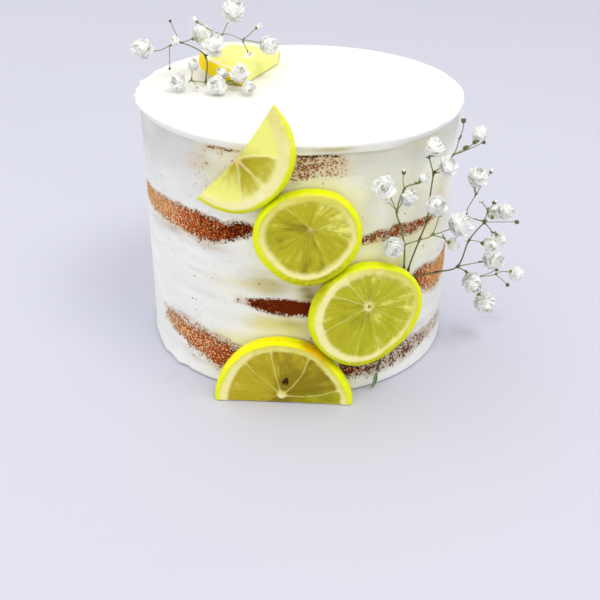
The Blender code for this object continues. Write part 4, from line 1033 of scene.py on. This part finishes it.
def flowing(points, steps):
    """Smooth line through points, on cubics between them; at both ends the line goes on straight."""
    points = np.array(points, float)
    held = np.concatenate((2 * points[:1] - points[1:2], points, 2 * points[-1:] - points[-2:-1]))
    share = np.linspace(0, 1, steps, endpoint=False)[None, :, None]
    line = cubic_between(*(held[k:len(held) - 3 + k, None] for k in range(4)), share)
    return np.concatenate((line.reshape(-1, 3), points[-1:]))


def set_out(origins, ways, lengths):
    """Points of many small forms: each origin, plus each of three directions times its length."""
    moved = sum(way[:, None, None] * length[..., None] for way, length in zip(ways, lengths))
    return origins[:, None, None] + moved


def stem_part(points, radius, end_radius, age, steps=7, knots=True):
    """Round stem carried along a smooth line, thinning to its end and swollen at its joints.

    A ring of points stands square to the line; its radius is even, plus a bell-shaped swelling at
    each joint.
    """
    line = flowing(points, steps)
    share = np.linspace(0, 1, len(line))
    across, third = square_to(unit(np.gradient(line, axis=0)), (0.31, 0.42, 0.12))
    from_joint = np.linalg.norm(line[:, None] - line[::steps], axis=-1)
    swell = bell(from_joint, 0, 0.8).max(1) if knots else 0 * share
    thick = (radius + (end_radius - radius) * share) * (1 + 0.75 * swell)
    turn = all_round(7, math.tau)[:, None]
    square = across[:, None] * np.cos(turn) + third[:, None] * np.sin(turn)
    rings = line[:, None] + thick[:, None, None] * square
    aged = (age * (1 - 0.5 * share) + 0.5 * swell)[:, None]
    marks = {"age": (np.broadcast_to(aged, rings.shape[:2])[None], age, age), "white": (0.0, 0.0, 0.0)}
    return rings[None], line[0], line[-1], marks


PETAL_ROWS, PETAL_COLUMNS, CORE_ROWS, CORE_COLUMNS = 8, 10, 17, 22


def petal_part(base, axis, swing, slope, curl, length, width, ruffle, heart):
    """Petals of many heads at once, each a thin closed blade.

    A petal starts at its base, runs out at a slope above the head's plane and curls as it goes: its
    places out and up are the means of the cosine and the sine of its slope so far, times the way.
    Its width rises and falls as a half sine wave, and a growing wave ruffles its rim. Its two faces
    are a hair apart and joined round the rim.
    """
    share = np.linspace(0.06, 1.0, PETAL_ROWS)[None, :, None]
    turn = all_round(PETAL_COLUMNS, math.tau)
    swing, slope, curl, length, width, ruffle = (
        values[:, None, None] for values in (swing, slope, curl, length, width, ruffle))
    steps = np.linspace(0, 1, 24)[None, None, :, None] * share[:, :, None, :]
    rise = slope[..., None] + curl[..., None] * steps
    run = (np.cos(rise).mean(2) * share * length, np.sin(rise).mean(2) * share * length)
    half = width * 0.5 * np.sin(math.pi * (0.10 + 0.80 * share)) ** 0.75
    x = half * np.cos(turn)
    tip = 0.10 * length * (1 - np.abs(np.cos(turn))) * ease(share, 0.7, 1.0)
    wave = ruffle * length * share ** 2 * np.sin(x / width * 9.0 + swing * 3.0)
    lift = wave + 0.9 * x ** 2 / width * (1 - share)
    lift = lift + 0.055 * np.sin(turn) * np.sin(math.pi * (0.05 + 0.93 * share))
    slant = slope + curl * share
    out = run[0] - tip * np.cos(slant) - lift * np.sin(slant)
    high = run[1] - tip * np.sin(slant) + lift * np.cos(slant)
    first, second = square_to(axis)
    c, s = np.cos(swing[..., 0]), np.sin(swing[..., 0])
    rings = set_out(base, (first * c + second * s, second * c - first * s, axis), (out, x, high))
    heart = np.clip(heart[:, None, None] * (1 - share) + 0 * x, 0, 1)
    return rings, base, rings[:, -1].mean(1), {"heart": (heart, heart[:, 0, 0], heart[:, -1, 0])}


def round_part(centre, axis, size, squat, ribs, white, rows=9, columns=10, age=0.7, opening=0.0):
    """Small buds or cups: rings round an axis, their radius a half sine wave with fine ribs. The
    wider the opening, the more of the tip is white."""
    share = np.linspace(0.04, 0.96, rows)[:, None]
    turn = all_round(columns, math.tau)
    first, second = square_to(axis)
    half = size[:, None, None] * 0.5
    radius = half * (np.sin(math.pi * share) ** 0.8) * (1 + ribs * np.cos(5 * turn))
    high = half * squat * -np.cos(math.pi * share)
    rings = set_out(centre, (first, second, axis), (radius * np.cos(turn), radius * np.sin(turn), high))
    tip = axis * size[:, None] * 0.5 * squat
    blanch = ease(share + np.asarray(opening)[..., None, None], 0.64, 0.80) * white
    marks = {"age": (age, age, age), "white": (np.broadcast_to(blanch, rings.shape[:3]), 0.0, white)}
    return rings, centre - tip, centre + tip, marks


def core_part(centre, axis, size, seed):
    """Crumpled hearts of many heads at once: a ball, its radius shrunk by two sizes of noise."""
    down = np.linspace(0.03, 0.97, CORE_ROWS)[:, None] * math.pi
    turn = all_round(CORE_COLUMNS, math.tau)
    ball = (np.sin(down) * np.cos(turn), np.sin(down) * np.sin(turn), -np.cos(down))
    wide, ways = size[:, None, None], (*square_to(axis), axis)
    spots = set_out(centre, ways, [way * wide * 0.4 for way in ball])
    folds = np.abs(grain(spots, 1.5, seed)) + 0.6 * np.abs(grain(spots, 0.8, seed + 1))
    folds = np.minimum(folds, 1.0)
    rings = set_out(centre, ways, [way * wide * (0.425 - 0.13 * folds) for way in ball])
    pole = axis * size[:, None] * 0.37
    return rings, centre - pole, centre + pole, {"heart": (0.35 * folds, 0.5, 0.3)}


petal_finish = Finish("white_petals")
veins = petal_finish.grain(0.0009, 3.0, 0.6)
petal_white = petal_finish.blend(veins, (0.975, 0.978, 0.968), (0.996, 0.996, 0.992))
petal_white = petal_finish.blend(petal_finish.mark("heart"), petal_white, (0.88, 0.92, 0.75))
petal_finish.set(Base_Color=petal_white, Roughness=0.6, Specular_IOR_Level=0.2)
petal_finish.relief(veins, 0.0002, 0.4)
stem_finish = Finish("green_stems")
streak = stem_finish.grain(0.0012, 2.0, 0.5, (1, 1, 4))
green = stem_finish.blend(streak, (0.160, 0.200, 0.030), (0.330, 0.380, 0.085))
green = stem_finish.blend(stem_finish.mark("age"), green, (0.060, 0.045, 0.020))
green = stem_finish.blend(stem_finish.mark("white"), green, (0.90, 0.92, 0.88))
stem_finish.set(Base_Color=green, Roughness=0.55)
stem_finish.relief(streak, 0.0002, 0.5)

# Petals of a head from its foot to its crown: how many in a ring, their slope above the head's
# plane and their curl in degrees, and their width as a share of the head.
PETAL_RINGS = ((7, -14, 16, 0.44), (9, 6, 12, 0.44), (9, 24, 8, 0.42), (9, 40, 8, 0.40),
               (8, 55, 12, 0.36), (6, 69, 18, 0.32), (4, 82, 20, 0.28))
# A bud of the first size or more is built as a flower. A flower smaller than the second size is
# half open: it only has the petals that are steeper than the slope.
SMALLEST_FLOWER, OPEN_FLOWER, HALF_OPEN_SLOPE = 2.8, 4.0, 45
# Radii of a sprig's first stem, of its side stems, and of the stalks of its flowers and buds.
MAIN_STEM, SIDE_STEM, FLOWER_STALK, BUD_STALK = 0.46, 0.30, 0.22, 0.20


def read_rows(plan, rows):
    """Joints that flowers or buds grow from, their middles and their diameters, as arrays."""
    roots = np.array([plan["joints"][key] for key, _, _ in rows], float)
    return roots, np.array([spot for _, spot, _ in rows], float), np.array([size for *_, size in rows])


def sprig(name, node, plan, seed, age, slim=1.0):
    """One sprig from its plan: stems, foot stalks, cups, buds and bracts in one piece, petals in
    another. A head's axis is its way from its joint, mixed with chance and with the way to the
    front."""
    draw = np.random.default_rng(seed)
    joints = plan["joints"]
    green = []
    for order, run in enumerate(plan["stems"]):
        thick, aged = (MAIN_STEM * slim, age) if order == 0 else (SIDE_STEM * slim, age * 0.4)
        green.append(stem_part([joints[key] for key in run], thick, thick * 0.7, aged))
    roots, heads, sizes = read_rows(
        plan, [row for row in plan["flowers"] + plan["buds"] if row[2] >= SMALLEST_FLOWER])
    sizes = sizes * 1.06
    axes = unit(unit(heads - roots) * 0.8 + draw.normal(0, 0.28, heads.shape) + (0, -0.35, 0.15))
    necks = heads - axes * sizes[:, None] * 0.30
    for root, neck, axis in zip(roots, necks, axes):
        bow = (root + neck) / 2 - axis * np.linalg.norm(neck - root) * 0.12
        line = [root, bow, neck - axis * 0.3]
        green.append(stem_part(line, FLOWER_STALK, FLOWER_STALK + 0.02, age * 0.2, 5, False))
    green.append(round_part(necks - axes * sizes[:, None] * 0.10, axes, np.minimum(1.7, sizes * 0.42),
                            1.2, 0.10, 0.0, age=0.25))

    shut = sizes < OPEN_FLOWER
    white = []
    for ring, (number, slope, curl, width) in enumerate(PETAL_RINGS):
        here = np.arange(len(heads))[~shut | (slope > HALF_OPEN_SLOPE)]
        lot = np.repeat(here, number)
        swing = np.tile(all_round(number, math.tau), len(here)) + ring * 0.7 + lot
        rise = np.radians(slope + draw.normal(0, 7, lot.size))
        reach = 0.30 * np.sin(rise) + np.sqrt((0.30 * np.sin(rise)) ** 2 + 0.16)
        swing = swing + draw.normal(0, 0.12, lot.size)
        bend = np.radians(curl + draw.normal(0, 10, lot.size))
        length = sizes[lot] * reach * draw.uniform(0.96, 1.14, lot.size)
        wide = sizes[lot] * width * draw.uniform(1.0, 1.2, lot.size)
        ruffle = draw.uniform(0.025, 0.05, lot.size)
        heart = np.full(lot.size, 0.16 + 0.09 * ring)
        white.append(petal_part(necks[lot], axes[lot], swing, rise, bend, length, wide, ruffle, heart))
    white.append(core_part(heads, axes, sizes * np.where(shut, 0.75, 1.0), seed))
    eyes = np.repeat(np.arange(len(heads))[~shut], 4)
    leaning_out = unit(axes[eyes] + draw.normal(0, 0.16, (len(eyes), 3)))
    green.append(round_part(heads[eyes] + leaning_out * sizes[eyes, None] * 0.43, leaning_out,
                            np.full(len(eyes), 0.9), 1.6, 0.0, 0.45, 5, 6, 0.1, 0.8))
    make_piece(name + "_heads", white, petal_finish.material, "sprig", node)

    tips = [row for row in plan["buds"] if row[2] < SMALLEST_FLOWER]
    if tips:
        roots, ends, sizes = read_rows(plan, tips)
        axes = unit(unit(ends - roots) + draw.normal(0, 0.12, ends.shape))
        for root, end, axis in zip(roots, ends, axes):
            line = [root, (root + end) / 2 + draw.normal(0, 0.35, 3), end - axis * 0.6]
            green.append(stem_part(line, BUD_STALK, BUD_STALK - 0.01, age * 0.3, 5, False))
        opening = draw.uniform(-0.1, 0.32, len(ends))
        green.append(round_part(ends, axes, sizes * 0.85, 1.35, 0.05, 0.9, opening=opening))
    ends = [run[0] for run in plan["stems"]] + [run[-1] for run in plan["stems"]]
    forks = np.repeat(np.array([joints[key] for key in ends], float), 2, axis=0)
    tilted = unit(draw.normal(0, 1, forks.shape) + (0, -0.3, 0.9))
    green.append(round_part(forks + tilted * 0.8, tilted, np.full(len(forks), 0.75), 2.6, 0.0, 0.0,
                            5, 6, 0.1 + 0.7 * age))
    make_piece(name + "_stems", green, stem_finish.material, "sprig", node)


sprig("tall_sprig", "sprig_tall", TALL_SPRIG, 31, 1.0)
sprig("inner_sprig", "sprig_inner", INNER_SPRIG, 32, 0.35)
sprig("outer_sprig", "sprig_outer", OUTER_SPRIG, 33, 0.8)
sprig("top_sprig", "sprig_top", TOP_SPRIG, 34, 0.6, 0.75)
sprig("front_sprig", "sprig_front", FRONT_SPRIG, 35, 0.0, 0.5)


# Narrow green leaf at the foot of the tall sprig: a thin folded blade with a pale midrib. It hangs
# from the lower end of the sprig's stem and bows outwards a little. Its width is a half sine wave,
# and its fold rises with the way from the midrib.
LEAF_ROOT, LEAF_TIP = np.array((36.4, -70.6, 8.4)), np.array((34.6, -73.8, 1.3))
LEAF_HALF_WIDTH = 1.3
share = np.linspace(0.03, 0.99, 26)[:, None]
turn = all_round(20, math.tau)
across = unit(np.array((0.84, 0.5, 0.1)))
facing = unit(np.cross(LEAF_TIP - LEAF_ROOT, across))
blade = LEAF_HALF_WIDTH * np.sin(math.pi * (0.12 + 0.84 * share)) ** 0.8 * np.cos(turn)
fold = 0.30 * np.abs(blade) + 0.5 * np.sin(math.pi * share) + 0.14 * np.sin(9 * share + 2 * blade)
fold = fold + 0.14 * np.sin(turn) * np.sin(math.pi * share)
spine = (LEAF_ROOT + (LEAF_TIP - LEAF_ROOT) * share)[:, None]
rings = (spine + across * blade[..., None] + facing * fold[..., None])[None]
leaf = Finish("narrow_leaf")
rib = leaf.mark("rib")
leaf_green = leaf.blend(leaf.grain(0.0008, 2.0), (0.035, 0.075, 0.012), (0.110, 0.220, 0.040))
leaf.set(Base_Color=leaf.blend(rib, leaf_green, (0.28, 0.42, 0.12)), Roughness=0.5)
leaf.relief(leaf.grain(0.0005, 2.0), 0.0001, 0.6)
marks = {"rib": (bell(blade, 0, 0.22)[None], 1.0, 1.0)}
make_piece("foot_leaf", [(rings, LEAF_ROOT, LEAF_TIP, marks)], leaf.material, "leaf", "leaf_foot")
